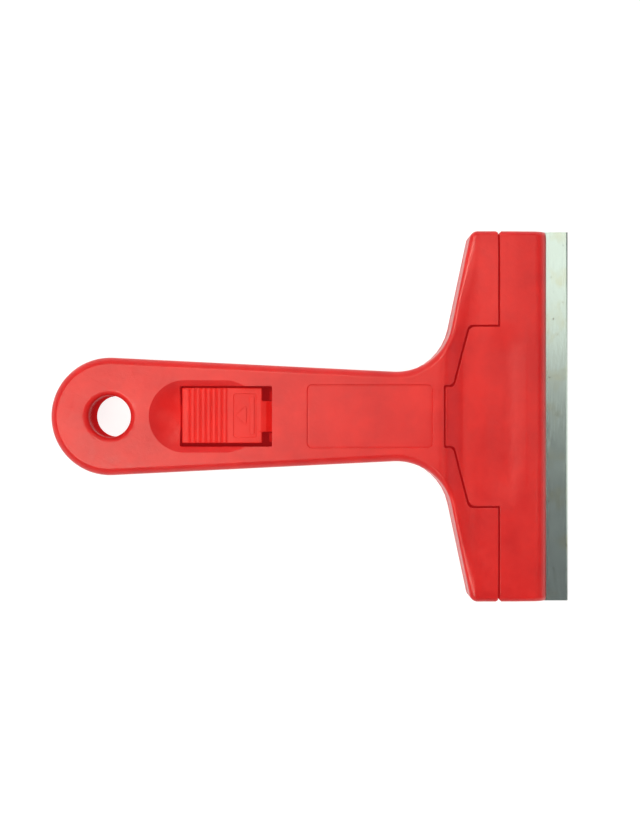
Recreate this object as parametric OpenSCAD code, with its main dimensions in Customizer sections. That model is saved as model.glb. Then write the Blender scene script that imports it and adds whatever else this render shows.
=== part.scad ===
// Ceramic hob scraper with a press button and a sprung clamp jaw.
// It lies on its flat back: +X runs from the hanging hole to the blade, +Z is up, and the origin is the
// middle of its base. A button in the handle rocks on its knuckle and pushes down the tail of a long
// lever, whose other end is the clamp plate over the blade. A spring under the tail shuts the jaw.

/* [Overall] */
// Length from the round end to the blade's edge
overall_l = 138; // [130:1:150]
// Thickness of the handle
handle_t = 14; // [13.5:0.25:16]

/* [Handle] */
// Radius of the round end, which the hanging hole is centred in
tail_r = 15.5; // [14:0.25:17]
// Width at the waist, just before the flare
neck_w = 23.6; // [22.5:0.2:26]
// Distance from the centre of the round end to the waist
waist_run = 75.3; // [70:1:80]
// Radius of the flare between the waist and the wings
flare_r = 15; // [12:0.5:17]
// Thickness of the top skin
skin_t = 2.2; // [1.8:0.1:2.4]
// Thickness of the side walls above the ledge that the cover lies against
wall_t = 2.7; // [2.3:0.1:3]
// Width of the rounded rim along the handle's top edge
rim_w = 1.85; // [1.2:0.05:2.2]
// Height of the rounded rim
rim_h = 3.2; // [2:0.1:4]
// Chamfer along the lower edge
foot_chamfer = 0.8; // [0.3:0.1:1]

/* [Hanging hole] */
// Bore of the hanging hole
hole_d = 11; // [8:0.5:13]
// Rounded lead-in at both mouths of the hanging hole
hole_lead = 1.25; // [0.5:0.05:1.5]

/* [Head] */
// Width of the head
head_w = 98.8; // [92:0.2:99.4]
// Where the straight rear edge of a wing starts, behind the blade's edge
wing_back = 32; // [30:0.5:34]
// Half width at which that distance is measured
wing_ref = 26; // [24:1:30]
// Angle between the rear edge of a wing and the handle's axis
wing_angle = 78; // [72:1:82]
// Radius of the outer corner of a wing
wing_corner_r = 2.3; // [1.5:0.1:3]
// Distance from the bend where the handle starts to slope down to the blade's edge
shoulder_back = 34.9; // [33:0.5:36]
// Thickness of the head in front of the slope
head_t = 9.6; // [9:0.1:10.5]
// Length of the slope
slope_l = 9; // [8:0.5:11]
// Thickness of the head at the front edge of the clamp plate
nose_t = 5.5; // [4.6:0.1:6.2]
// Share of the handle's rim that is left along the head
head_rim = 0.68; // [0.5:0.02:0.9]

/* [Blade] */
// Width of the blade
blade_w = 100; // [99.6:0.2:104]
// Depth of the blade, front to back
blade_d = 18; // [17:0.25:19]
// Thickness of the blade
blade_t = 0.5; // [0.4:0.05:0.7]
// Length of blade that stands out of the jaw
blade_show = 6.4; // [5:0.2:8]
// Width of the ground bevel below the blade's edge
bevel_w = 1.1; // [0.6:0.1:1.5]
// Width of the honed bevel above the edge
hone_w = 0.4; // [0.2:0.05:0.8]
// Thickness that is left at the ground edge
edge_t = 0.1; // [0.06:0.02:0.2]
// Diameter of the pegs that locate the blade sideways
peg_d = 3; // [2.4:0.1:3.6]
// Distance of each peg from the middle
peg_y = 32; // [28:1:36]
// Height of the pegs above the blade
peg_h = 0.6; // [0.4:0.1:0.8]

/* [Clamp jaw] */
// Gap between the clamp plate and the wings around it
jaw_gap = 0.5; // [0.4:0.05:0.8]
// Distance from the rear edge of the clamp plate's tongue to the blade's edge
tongue_back = 34.3; // [33.5:0.1:34.6]
// Length of the tongue behind the slanted shoulder
tongue_l = 2.5; // [1.5:0.1:3.5]
// Width of the tongue
tongue_w = 15.5; // [14:0.1:16.5]
// Radius where the tongue meets the slanted shoulder
tongue_r = 2.2; // [1:0.1:3]
// Half width of the plate behind the wings' front edge
plate_half = 23.8; // [22:0.2:25]
// Radius of the corner at that width
plate_r = 1.9; // [1:0.1:3]
// Slope of the slanted shoulder, in mm across for each mm forward
shoulder_rise = 3.7; // [3.3:0.1:4.2]
// Distance from the full-width front of the clamp plate to the blade's edge
front_back = 19.45; // [19:0.05:20]
// Thickness of the clamp plate's skin
plate_t = 2; // [1.6:0.1:2.4]
// Thickness of the clamp plate's end walls and ribs
rib_t = 1.6; // [1.2:0.1:2]
// Depth of the lip that presses on the blade
lip_d = 4; // [3:0.5:5]
// Number of ribs under the clamp plate
plate_ribs = 5; // [3:2:7]
// Depth of the notch at each end of the gap between the wings and the clamp plate
notch_d = 0.8; // [0.3:0.1:1.2]
// Distance from the pivot to the blade's edge
pivot_back = 38.3; // [37.5:0.1:39]
// Diameter of the steel pivot pin
pin_d = 2.5; // [2:0.1:3]
// Length of the pivot pin
pin_l = 20; // [19:0.5:21]
// Thickness of the hub's wall round the pin
hub_wall = 1.9; // [1.6:0.1:2.1]
// Width of the hub
hub_w = 13.2; // [12:0.2:14]
// Width of the lever arm
arm_w = 7.6; // [6:0.2:8]
// Depth of the lever arm
arm_t = 2.8; // [2.4:0.1:3]

/* [Press button] */
// Length of the button's plate
button_l = 21; // [20:0.25:21.5]
// Width of the button
button_w = 14.5; // [13:0.1:15]
// Thickness of the button's plate
button_t = 2.2; // [1.8:0.1:2.4]
// How far the button's ribs lie below the top of the handle
button_drop = 0.8; // [0.5:0.1:1]
// How far the button sits to one side in its window
button_shift = 0.25; // [0:0.05:0.3]
// Number of grip ribs
rib_count = 8; // [5:1:8]
// Spacing of the grip ribs
rib_pitch = 1.4; // [1.2:0.02:1.5]
// Depth of the grooves between the grip ribs
rib_depth = 0.45; // [0.2:0.05:0.6]
// Width of the slope between the ribs and the flat end
flat_slope = 1.3; // [0.6:0.1:1.6]
// How far the flat end lies below the ribs
flat_drop = 0.3; // [0.1:0.05:0.5]
// Depth of the panel sunk into the flat end, and height of the press mark on it
panel_d = 0.15; // [0.1:0.05:0.25]
// Length of the panel
panel_l = 6.2; // [5.4:0.1:6.3]
// Width of the panel
panel_w = 11.6; // [9:0.1:12.4]
// Radius of the knuckle that the button rocks on
knuckle_r = 1.9; // [1.7:0.05:2]
// Width of the knuckle
knuckle_w = 8.1; // [7:0.1:8.6]
// Diameter of the button's trunnions
trunnion_d = 2.6; // [2.2:0.1:3]
// Length of each trunnion
trunnion_l = 2.6; // [2:0.1:3]

/* [Window and scoop] */
// Distance from the round end to the window's rear edge
window_inset = 33.9; // [32:0.1:36]
// Length of the window
window_l = 24.3; // [24:0.1:26]
// Width of the window
window_w = 15.9; // [15.6:0.1:17]
// Half width of the thumb scoop
scoop_half = 9.5; // [9:0.1:10]
// Depth of the thumb scoop
scoop_depth = 3.6; // [2.6:0.1:3.7]
// Distance between the centres of the scoop's two round ends
scoop_run = 10.4; // [8:0.2:11]
// Distance from the window's rear edge to the centre of the scoop's rear end
scoop_ahead = 1.55; // [0.5:0.05:3]

/* [Label recess] */
// Length of the bare label recess on the bridge
label_l = 33; // [24:1:33]
// Width of the label recess
label_w = 16.7; // [12:0.1:17.5]
// Corner radius of the label recess
label_r = 1.3; // [0.5:0.1:3]
// Depth of the label recess
label_depth = 0.3; // [0.1:0.05:0.5]
// Distance from the window's front edge to the label recess
label_gap = 9.1; // [7:0.1:10]

/* [Back cover] */
// Thickness of the back cover and lower jaw
cover_t = 2; // [1.7:0.1:2.2]
// Clearance between the cover and the walls around it
cover_gap = 0.12; // [0.05:0.01:0.2]
// Width of the ledge inside the handle that the cover lies against
ledge_w = 0.9; // [0.6:0.05:1.2]
// Distance from the round end to the cover's rear edge
cover_inset = 23; // [22:0.5:24]
// Distance from the cover's head plate to the blade's edge
cover_head_back = 43; // [42:0.5:45]
// Length of the chamfer under the lower jaw's front edge
jaw_chamfer = 4.5; // [3:0.5:6]
// Thickness left at the lower jaw's front edge
jaw_edge_t = 0.9; // [0.7:0.1:1.3]

/* [Return spring] */
// Outer diameter of the return spring
spring_d = 6; // [5.4:0.1:6.2]
// Diameter of the spring's wire
wire_d = 0.6; // [0.5:0.05:0.65]
// Number of turns
spring_turns = 4; // [3:0.5:4]
// Length of the fitted spring with the jaw shut
spring_l = 5.8; // [5.5:0.1:6]
// Distance from the window's rear edge to the spring's axis
spring_ahead = 7; // [6.8:0.1:7.4]

/* [Cover screws] */
// Diameter of the screws' thread
screw_d = 2.9; // [2.5:0.1:3.1]
// Diameter of the screws' heads
screw_head_d = 5; // [4.6:0.1:5.2]
// Height of the screws' heads
screw_head_h = 1.5; // [1.2:0.1:1.6]
// Length of the screws below the head
screw_l = 6; // [5.5:0.25:6.25]
// Outer diameter of the screw bosses
boss_d = 6.4; // [6:0.1:6.8]
// Distance from the cover's rear edge to the rear screws
screw_rear_in = 4.5; // [4:0.25:5.5]
// Distance of the rear screws from the middle
screw_rear_y = 8.3; // [8:0.1:8.7]
// Distance of the front screws from the blade's edge
screw_front_back = 24.3; // [23.8:0.1:25]
// Distance of the front screws from the middle
screw_front_y = 36; // [32:1:40]

/* [Hidden] */

// Running clearance of pins and trunnions, and the gap between parts that only touch
run_gap = 0.05;
touch_gap = 0.05;
// Clearance between parts that swing past each other
free_gap = 0.4;
// Gap between the button's rear edge and its window, and what the ribs start in from that edge
button_gap = 0.64;
rib_margin = 0.45;
// Thickness of the floor under the scoop, and the hook that runs beneath it
scoop_wall = 1.7;
hook_gap = 0.2;
hook_w = 6;
hook_reach = 0.95;
// Guide walls beside the window
collar_t = 1.3;
collar_h = 3.2;
// How far the neck reaches into the button's plate, its crest, and the room under the knuckle
neck_in = 3;
crest_l = 1.2;
crest_in = 0.2;
knuckle_gap = 0.6;
// Half saddles in the shell and the posts on the cover that close them
saddle_l = 5.4;
saddle_dip = 0.6;
post_l = 4.2;
post_gap = 0.1;
pin_fit = 0.04;
// Ribs under the bridge
bridge_rib_in = 6;
bridge_rib_y = 6.8;
bridge_rib_h = 1.6;
// Fits of the screws in their bosses
head_gap = 0.2;
shank_gap = 0.15;
thread_gap = 0.02;
// Room between the jaw's hub and the cover
hub_rise = 1.35;
// Cup and seat ring of the spring, and the web above the cup
cup_depth = 2.4;
cup_wall = 1.3;
cup_gap = 0.35;
ring_h = 0.8;
tail_web = 1.1;
// Share of the blade's thickness that is ground off from below
hone_share = 0.75;
// Corners of the button's panel, and its press mark
panel_r = 0.8;
mark_in = 0.7;
mark_bar = 1.1;
mark_point = 2.7;
// Stops and pegs of the blade
stop_y = 40;
stop_l = 10;
stop_t = 1.1;
stop_h = 0.9;
peg_in = 3;
peg_gap = 0.15;
// Overshoot of cutting solids, and the angle between points on an arc
eps = 1;
arc_step = 9;
// Spacing of the loft's stations where the top surface curves
station_step = 1;
$fn = 48;

// Places along the handle
tail_x = -overall_l / 2;
edge_x = overall_l / 2;
eye_x = tail_x + tail_r;
waist_x = eye_x + waist_run;
window_x0 = tail_x + window_inset;
window_x1 = window_x0 + window_l;
nose_x = edge_x - blade_show;
blade_x0 = edge_x - blade_d;
tongue_x = edge_x - tongue_back;
front_x = edge_x - front_back;
shoulder_x = edge_x - shoulder_back;
pivot_x = edge_x - pivot_back;
cover_x0 = tail_x + cover_inset;
cover_head_x = edge_x - cover_head_back;
wing_x = edge_x - wing_back;
spring_x = window_x0 + spring_ahead;
label_x0 = window_x1 + label_gap;

// Heights, from the bed that the blade lies on to the underside of the bridge
bed_z = cover_t;
blade_top_z = bed_z + blade_t;
plate_z = blade_top_z + touch_gap;
ceiling_z = handle_t - skin_t;
scoop_floor_z = handle_t - scoop_depth;
button_top_z = handle_t - button_drop;
button_under_z = button_top_z - button_t;
hinge_z = ceiling_z - knuckle_r - 3 * run_gap;
hinge_x = window_x1 + knuckle_r - 0.7;
tail_top_z = bed_z + spring_l + tail_web;
tail_low_z = tail_top_z - tail_web - cup_depth;
hub_r = pin_d / 2 + run_gap + hub_wall;
pivot_z = bed_z + hub_r + hub_rise;
pin_y0 = hub_w / 2 + free_gap;
trunnion_y0 = knuckle_w / 2 + 0.3;
trunnion_y1 = knuckle_w / 2 + trunnion_l + 0.1;
button_x0 = window_x0 + button_gap;
button_x1 = button_x0 + button_l;
ribs_x = button_x0 + rib_margin;
slope_x = ribs_x + rib_pitch * (rib_count + 0.3);
flat_z = button_top_z - flat_drop;
panel_x0 = slope_x + flat_slope + 0.1;
scoop_under_z = scoop_floor_z - scoop_wall;

// Direction of the handle's tapered side, from the circle's centre to the waist
waist_dir = [waist_run, neck_w / 2];
taper_angle = 90 - atan2(waist_dir.y, waist_dir.x) - acos(tail_r / norm(waist_dir));

// Vectors and corners
function unit(v) = v / norm(v);
function turn_of(p, q, s) = (q.x - p.x) * (s.y - p.y) - (q.y - p.y) * (s.x - p.x);
function polar(r, a) = r * [cos(a), sin(a)];
function xy(p) = [p.x, p.y];

// Arc that rounds corner q between p and s, no larger than its two sides have room for
function corner(p, q, s, r) =
    let (u = unit(p - q), v = unit(s - q), half = acos(u * v) / 2)
    let (cut = min(r / tan(half), 0.49 * norm(p - q), 0.49 * norm(s - q)))
    let (rr = cut * tan(half), c = q + unit(u + v) * rr / sin(half))
    let (n = max(1, round((180 - 2 * half) / arc_step)), way = turn_of(p, q, s) > 0 ? 1 : -1)
    let (d = q + u * cut - c, a0 = atan2(d.y, d.x))
    [for (k = [0:n]) c + polar(rr, a0 + way * (180 - 2 * half) * k / n)];

// Open line and closed outline through points [x, y, radius]
function soft_line(pts) = [
    for (i = [0:len(pts) - 1])
        if (i == 0 || i == len(pts) - 1 || pts[i][2] == 0) xy(pts[i])
        else each corner(xy(pts[i - 1]), xy(pts[i]), xy(pts[i + 1]), pts[i][2])];
function soft_loop(pts) = let (n = len(pts)) [
    for (i = [0:n - 1])
        if (pts[i][2] == 0) xy(pts[i])
        else each corner(xy(pts[(i + n - 1) % n]), xy(pts[i]), xy(pts[(i + 1) % n]), pts[i][2])];
function mirrored(line) = [for (i = [len(line) - 1:-1:0]) [line[i].x, -line[i].y]];

// Point where the line through p along u crosses the line through q along v
function crossing(p, u, q, v) = p + u * turn_of([0, 0], q - p, v) / turn_of([0, 0], u, v);

// Half outline of the whole scraper in plan, moved inwards by inset: round end, taper, flare and wing
function half_plan(inset = 0) =
    let (eye = [eye_x, 0], taper = [cos(taper_angle), -sin(taper_angle)])
    let (rim = eye + polar(tail_r - inset, 90 - taper_angle), wing = polar(1, wing_angle))
    let (wing_p = [wing_x, wing_ref] + inset * [sin(wing_angle), -cos(wing_angle)])
    let (neck = crossing(rim, taper, wing_p, wing), side = [0, head_w / 2 - inset])
    let (tip = crossing(wing_p, wing, side, [1, 0]), front = [nose_x, side.y])
    concat(
        [for (a = [180:-arc_step:90 - taper_angle + 1]) eye + polar(tail_r - inset, a)], [rim],
        corner(rim, neck, tip, flare_r + inset),
        corner(neck, tip, front, max(wing_corner_r - inset, 0.2)), [front]);

// Height of the top surface along the handle: level, a soft bend, a slope, the head and its round nose
top_line = soft_line([
    [tail_x - eps, handle_t, 0], [shoulder_x, handle_t, 5], [shoulder_x + slope_l, head_t, 18],
    [nose_x - 3.1, head_t - 0.6, 12], [nose_x, nose_t, 0], [nose_x + eps, nose_t - eps, 0]]);
function top_z(x) = lookup(x, top_line);

// Stations of the loft: the plan's own points, closer together where the top surface curves
function stations(line, base) = [
    for (i = [0:len(line) - 2])
        let (run = base[i + 1].x - base[i].x)
        let (n = base[i + 1].x > shoulder_x - 2 ? ceil(run / station_step) : 1)
        for (k = [0:n - 1]) line[i] + (line[i + 1] - line[i]) * k / n,
    line[len(line) - 1]];

// Share of the rim at a place along the handle: full on the handle, less on the head
function rim_share(x) =
    let (t = min(1, max(0, (x - waist_x) / (wing_x - waist_x))))
    1 + (head_rim - 1) * t * t * (3 - 2 * t);

// The rim is part of an ellipse that stops short of level, so its inner edge stays crisp
rim_angle = 60;
rim_steps = 6;
function rim_in(a) = rim_w * (1 - cos(a)) / (1 - cos(rim_angle));
function rim_down(a) = rim_h * (1 - sin(a) / sin(rim_angle));

// One ring of the loft, from the front round the tail and back, with the point at the tail once
function ring(in, down, level) =
    let (plan = half_plan(0), plan_in = half_plan(1))
    let (base = stations(plan, plan), inner = stations(plan_in, plan), n = len(base))
    let (side = [for (i = [0:n - 1])
        let (s = rim_share(base[i].x), p = base[i] + (inner[i] - base[i]) * in * s)
        let (x = i == n - 1 ? nose_x : p.x)
        [x, p.y, is_undef(level) ? top_z(x) - down * s : level]])
    concat([for (i = [n - 1:-1:0]) side[i]], [for (i = [1:n - 1]) [side[i].x, -side[i].y, side[i].z]]);

// Both triangles of a four-sided face
function quad(a, b, c, d) = [[a, b, c], [a, c, d]];

// The scraper's outer form without the blade, which the shell, the cover and the clamp plate are cut from
module outer_form() {
    angles = [for (k = [0:rim_steps]) rim_angle * k / rim_steps];
    rings = concat(
        [ring(foot_chamfer, 0, 0), ring(0, 0, foot_chamfer)],
        [for (a = angles) ring(rim_in(a), rim_down(a))]);
    m = len(rings[0]);
    n = (m + 1) / 2;
    walls = [for (k = [0:len(rings) - 2]) for (j = [0:m - 1])
        let (i = (j + 1) % m)
        each quad(k * m + j, (k + 1) * m + j, (k + 1) * m + i, k * m + i)];
    top = (len(rings) - 1) * m;
    caps = [for (i = [0:n - 2])
        let (a = n - 1 - i, b = a - 1, c = n + i, d = n - 1 + i)
        each concat(
            quad(top + a, top + b, top + c, top + d),
            quad(d, c, b, a))];
    polyhedron([for (r = rings) each r], [for (f = concat(walls, caps)) if (f[0] != f[1] && f[1] != f[2]
        && f[0] != f[2]) f]);
}

// Space under the top surface, lowered by a skin, between two heights
module under_skin(skin, low) {
    line = [for (p = top_line) [p.x, p.y - skin]];
    last = len(line) - 1;
    rotate([90, 0, 0])
        linear_extrude(head_w + 2 * eps, center = true)
            polygon(concat(line, [[line[last].x, low], [line[0].x, low]]));
}

// Plan of the inside of the walls, closed across the axis
module inner_plan(inset) {
    line = half_plan(inset);
    polygon(concat(line, mirrored(line)));
}

// Outline of the clamp plate in plan, grown by a gap
function jaw_half(g) = soft_line([
    [tongue_x - g, 0, 0], [tongue_x - g, tongue_w / 2 + g, 0.4],
    [tongue_x + tongue_l - g, tongue_w / 2 + g, tongue_r],
    [tongue_x + tongue_l + (plate_half - tongue_w / 2) / shoulder_rise - g, plate_half + g, plate_r],
    [front_x - g, plate_half + g, 0.3], [front_x - g, head_w / 2 + eps, 0],
    [nose_x + eps, head_w / 2 + eps, 0]]);
module jaw_plan(g) {
    line = jaw_half(g);
    polygon(concat(line, mirrored(line)));
}

// Plan of the cover's stem, which lies inside the handle's walls
module stem_plan(gap) {
    line = half_plan(wall_t - ledge_w + gap);
    intersection() {
        polygon(concat(line, mirrored(line)));
        translate([cover_x0 + gap, -head_w / 2])
            square([cover_head_x - cover_x0 - gap + eps, head_w]);
    }
}

// Places of the four cover screws
module at_screws() {
    for (side = [-1, 1]) {
        translate([cover_x0 + screw_rear_in, side * screw_rear_y, 0]) children();
        translate([edge_x - screw_front_back, side * screw_front_y, 0]) children();
    }
}
module at_pegs() {
    for (side = [-1, 1])
        translate([blade_x0 + peg_in, side * peg_y, 0]) children();
}
head_low_z = 0.25;
boss_floor = 2.2;
seat_z = head_low_z + screw_head_h;
cover_boss_z = seat_z + boss_floor;
screw_top_z = seat_z + screw_l;

// Rounded rectangle in plan, centred across the axis
module soft_rect(x0, l, w, r) {
    polygon(soft_loop([[x0, -w / 2, r], [x0 + l, -w / 2, r], [x0 + l, w / 2, r], [x0, w / 2, r]]));
}

// Pair of round seats for a pin of diameter d, open below where the post comes up
module saddle_slot(x, z, d, y0, y1, below = true) {
    for (side = [0, 1])
        mirror([0, side, 0])
            translate([x, y0, 0]) {
                translate([0, y1 - y0, z])
                    rotate([90, 0, 0]) cylinder(d = d, h = y1 - y0);
                if (below) translate([-d / 2, 0, -eps]) cube([d, y1 - y0, z + eps]);
            }
}

// Notches at both ends of the gap between the wings and the clamp plate
module edge_notches() {
    side = notch_d * sqrt(2) + eps;
    for (end = [0, 1])
        mirror([0, end, 0])
            translate([front_x - jaw_gap / 2, head_w / 2 - notch_d, -eps])
                rotate([0, 0, 45]) cube([side, side, handle_t + 2 * eps]);
}

// Thumb scoop: a round-bottomed trough with two spherical ends
module scoop() {
    r = (scoop_half * scoop_half + scoop_depth * scoop_depth) / (2 * scoop_depth);
    translate([window_x0 + scoop_ahead, 0, scoop_floor_z + r]) {
        sphere(r, $fn = 96);
        rotate([0, 90, 0]) cylinder(r = r, h = scoop_run, $fn = 96);
        translate([scoop_run, 0, 0]) sphere(r, $fn = 96);
    }
}

// Hanging hole with a rounded lead-in at both mouths
module hanging_hole() {
    r = hole_d / 2;
    translate([eye_x, 0, -eps]) cylinder(d = hole_d, h = handle_t + 2 * eps, $fn = 96);
    for (top = [0, 1])
        translate([eye_x, 0, top * handle_t])
            mirror([0, 0, top])
                rotate_extrude($fn = 96)
                    difference() {
                        translate([0, -eps]) square([r + hole_lead, hole_lead + eps]);
                        translate([r + hole_lead, hole_lead]) circle(hole_lead, $fn = 48);
                    }
}

// Hollow of the handle shell, with its bosses, saddles and guide walls left standing
module shell_hollow() {
    difference() {
        intersection() {
            under_skin(skin_t, -eps);
            translate([0, 0, -eps]) linear_extrude(handle_t + 2 * eps) inner_plan(wall_t);
            translate([cover_x0 + ledge_w, -head_w, -eps])
                cube([nose_x - cover_x0, 2 * head_w, handle_t + 2 * eps]);
        }
        // The floor of the scoop behind the window
        translate([cover_x0 - eps, -head_w / 2, scoop_under_z])
            cube([window_x0 - cover_x0 + eps, head_w, handle_t]);
        // Guide walls beside the window
        for (side = [0, 1])
            mirror([0, side, 0])
                translate([window_x0 - eps, window_w / 2, ceiling_z - collar_h])
                    cube([window_l + eps, collar_t, handle_t]);
        // Walls along the clamp plate's opening, with the lever arm's way left free
        translate([0, 0, -eps])
            linear_extrude(handle_t + 2 * eps)
                difference() {
                    jaw_plan(jaw_gap + rib_t);
                    translate([pivot_x, -pin_l / 2 - eps])
                        square([tongue_x - jaw_gap - pivot_x, pin_l + 2 * eps]);
                }
        // Screw bosses
        at_screws() translate([0, 0, cover_boss_z + run_gap]) cylinder(d = boss_d, h = handle_t);
        // Half saddles of the button's trunnions and of the jaw's pivot pin
        for (side = [0, 1])
            mirror([0, side, 0]) {
                translate([hinge_x - saddle_l / 2, trunnion_y0, hinge_z - saddle_dip])
                    cube([saddle_l, trunnion_y1 - trunnion_y0, handle_t]);
                translate([pivot_x - saddle_l / 2, pin_y0, pivot_z])
                    cube([saddle_l, head_w, handle_t]);
            }
        // Two ribs that stiffen the bridge
        for (side = [0, 1])
            mirror([0, side, 0])
                translate([window_x1 + bridge_rib_in, bridge_rib_y, ceiling_z - bridge_rib_h])
                    cube([pivot_x - window_x1 - 2 * bridge_rib_in, rib_t, handle_t]);
    }
}

module handle_shell() {
    color("crimson")
        difference() {
            outer_form();
            shell_hollow();
            // Opening for the clamp plate, right through the head
            translate([0, 0, -eps]) linear_extrude(handle_t + 2 * eps) jaw_plan(jaw_gap);
            edge_notches();
            // Seats of the back cover, in the handle and under the wings, and room for its bosses
            translate([0, 0, -eps]) linear_extrude(cover_t + eps) stem_plan(0);
            translate([cover_head_x - eps / 2, -head_w, -eps])
                cube([nose_x, 2 * head_w, cover_t + eps]);
            at_screws() cylinder(d = boss_d + 2 * cover_gap, h = cover_boss_z + run_gap);
            hanging_hole();
            // Window for the button and the thumb scoop round it
            translate([window_x0, -window_w / 2, scoop_under_z - eps])
                cube([window_l, window_w, handle_t]);
            scoop();
            // Bare label recess
            translate([0, 0, handle_t - label_depth])
                linear_extrude(eps) soft_rect(label_x0, label_l, label_w, label_r);
            // Thread bores of the screws
            at_screws() cylinder(d = screw_d + thread_gap, h = screw_top_z + run_gap);
            // Saddles
            saddle_slot(hinge_x, hinge_z, trunnion_d + 2 * run_gap, knuckle_w / 2, trunnion_y1 + eps);
            saddle_slot(pivot_x, pivot_z, pin_d + pin_fit, hub_w / 2, pin_l / 2 + run_gap);
        }
}

module back_cover() {
    color("firebrick")
        difference() {
            union() {
                // Stem inside the handle and head plate with the lower jaw
                linear_extrude(cover_t) stem_plan(cover_gap);
                intersection() {
                    outer_form();
                    translate([cover_head_x, -head_w, -eps]) cube([nose_x, 2 * head_w, cover_t + eps]);
                }
                // Stops behind the blade, in the middle and beyond the pegs
                for (y = [-1, 0, 1] * stop_y)
                    translate([blade_x0 - touch_gap - stop_t, y - stop_l / 2, bed_z - eps])
                        cube([stop_t, stop_l, blade_t + stop_h + eps]);
                // Pegs that locate the blade sideways
                at_pegs() translate([0, 0, bed_z - eps]) cylinder(d = peg_d, h = blade_t + peg_h + eps);
                // Seat ring inside the spring
                translate([spring_x, 0, bed_z - eps])
                    cylinder(d = spring_d - 2 * wire_d - 2 * cup_gap, h = ring_h + eps);
                // Posts that close the saddles from below
                for (side = [0, 1])
                    mirror([0, side, 0]) {
                        translate([hinge_x - post_l / 2, trunnion_y0, bed_z - eps])
                            cube([post_l, trunnion_y1 - trunnion_y0,
                                hinge_z - saddle_dip - post_gap - bed_z + eps]);
                        translate([pivot_x - post_l / 2, pin_y0, bed_z - eps])
                            cube([post_l, pin_l / 2 - pin_y0, pivot_z - post_gap - bed_z + eps]);
                    }
                // Bosses that carry the screw heads
                at_screws() cylinder(d = boss_d, h = cover_boss_z);
            }
            at_screws() {
                translate([0, 0, -eps]) cylinder(d = screw_head_d + 2 * head_gap, h = seat_z + eps);
                cylinder(d = screw_d + 2 * shank_gap, h = handle_t);
            }
            saddle_slot(hinge_x, hinge_z, trunnion_d + 2 * run_gap, knuckle_w / 2, trunnion_y1 + eps, false);
            saddle_slot(pivot_x, pivot_z, pin_d + pin_fit, hub_w / 2, pin_l / 2 + eps, false);
            edge_notches();
            // Chamfer that lets the blade lie low on the hob
            rotate([90, 0, 0])
                linear_extrude(head_w + 2 * eps, center = true)
                    polygon([[nose_x - jaw_chamfer, -eps], [nose_x - jaw_chamfer, 0],
                        [nose_x, cover_t - jaw_edge_t], [nose_x + eps, cover_t - jaw_edge_t],
                        [nose_x + eps, -eps]]);
        }
}

// Side view of the lever arm, from the spring cup under the button to the hub
module arm_profile() {
    cup_r = spring_d / 2 + cup_wall;
    dip_z = hinge_z - knuckle_r - knuckle_gap;
    polygon([
        [spring_x - cup_r, tail_low_z], [spring_x + cup_r, tail_low_z],
        [hinge_x - 2 * knuckle_r, dip_z - arm_t], [hinge_x + 2 * knuckle_r, dip_z - arm_t],
        [pivot_x, pivot_z - hub_r + eps / 2], [pivot_x, pivot_z + hub_r - eps / 2],
        [pivot_x - 4 * hub_r, pivot_z + arm_t / 2], [hinge_x + 2 * knuckle_r, dip_z],
        [hinge_x - 3 * knuckle_r, dip_z], [spring_x + cup_r + eps, tail_top_z],
        [spring_x - cup_r, tail_top_z]]);
}

// Pocket under the clamp plate, open below, with the ribs left standing
module plate_pocket() {
    room_x0 = blade_x0 - stop_t - 2 * free_gap;
    room_x1 = blade_x0 + peg_in + peg_d / 2 + 2 * free_gap;
    rib_places = concat([-1, 1] * (tongue_w - rib_t) / 2,
        [for (k = [1:plate_ribs]) head_w * (k / (plate_ribs + 1) - 0.5)]);
    difference() {
        intersection() {
            under_skin(plate_t, -eps);
            linear_extrude(handle_t) jaw_plan(-rib_t);
            translate([0, -head_w / 2 + rib_t, -eps])
                cube([nose_x - lip_d, head_w - 2 * rib_t, handle_t]);
        }
        for (y = rib_places)
            translate([tongue_x, y - rib_t / 2, plate_z]) cube([nose_x - tongue_x, rib_t, handle_t]);
    }
    // Room for the stops and the pegs, behind and through the blade
    translate([room_x0, -head_w / 2 + rib_t, 0])
        cube([room_x1 - room_x0, head_w - 2 * rib_t, blade_top_z + max(stop_h, peg_h) + free_gap]);
}

module clamp_jaw() {
    color("red")
        difference() {
            union() {
                // Clamp plate, cut from the outer form and hollow below
                difference() {
                    intersection() {
                        outer_form();
                        translate([0, 0, plate_z]) linear_extrude(handle_t) jaw_plan(0);
                    }
                    plate_pocket();
                }
                // Hub round the pivot pin, joined to the tongue
                translate([pivot_x, 0, pivot_z])
                    rotate([90, 0, 0]) cylinder(r = hub_r, h = hub_w, center = true);
                translate([pivot_x, -hub_w / 2, pivot_z - hub_r / 2])
                    cube([tongue_x - pivot_x + rib_t, hub_w, hub_r * 1.4]);
                // Arm back to the button
                rotate([90, 0, 0]) linear_extrude(arm_w, center = true) arm_profile();
                translate([spring_x, 0, tail_low_z])
                    cylinder(d = spring_d + 2 * cup_wall, h = tail_top_z - tail_low_z);
            }
            edge_notches();
            // Bore for the pivot pin and the cup that holds the spring
            translate([pivot_x, 0, pivot_z])
                rotate([90, 0, 0]) cylinder(d = pin_d + 2 * run_gap, h = hub_w + 2 * eps, center = true);
            translate([spring_x, 0, -eps])
                cylinder(d = spring_d + 2 * cup_gap, h = tail_top_z - tail_web + eps);
        }
}

// Side view of the button: plate with grip ribs and a slope down to the flat end
module button_profile() {
    difference() {
        polygon(soft_loop([
            [button_x0, button_under_z, 0.3], [button_x1, button_under_z, 0], [button_x1, flat_z, 0.2],
            [slope_x + flat_slope, flat_z, 0.3], [slope_x, button_top_z, 0.3],
            [button_x0, button_top_z, 0.5]]));
        for (k = [1:rib_count])
            translate([ribs_x + rib_pitch * k, button_top_z + rib_pitch / 2 - rib_depth])
                circle(rib_pitch / 2, $fn = 24);
    }
}

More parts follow.
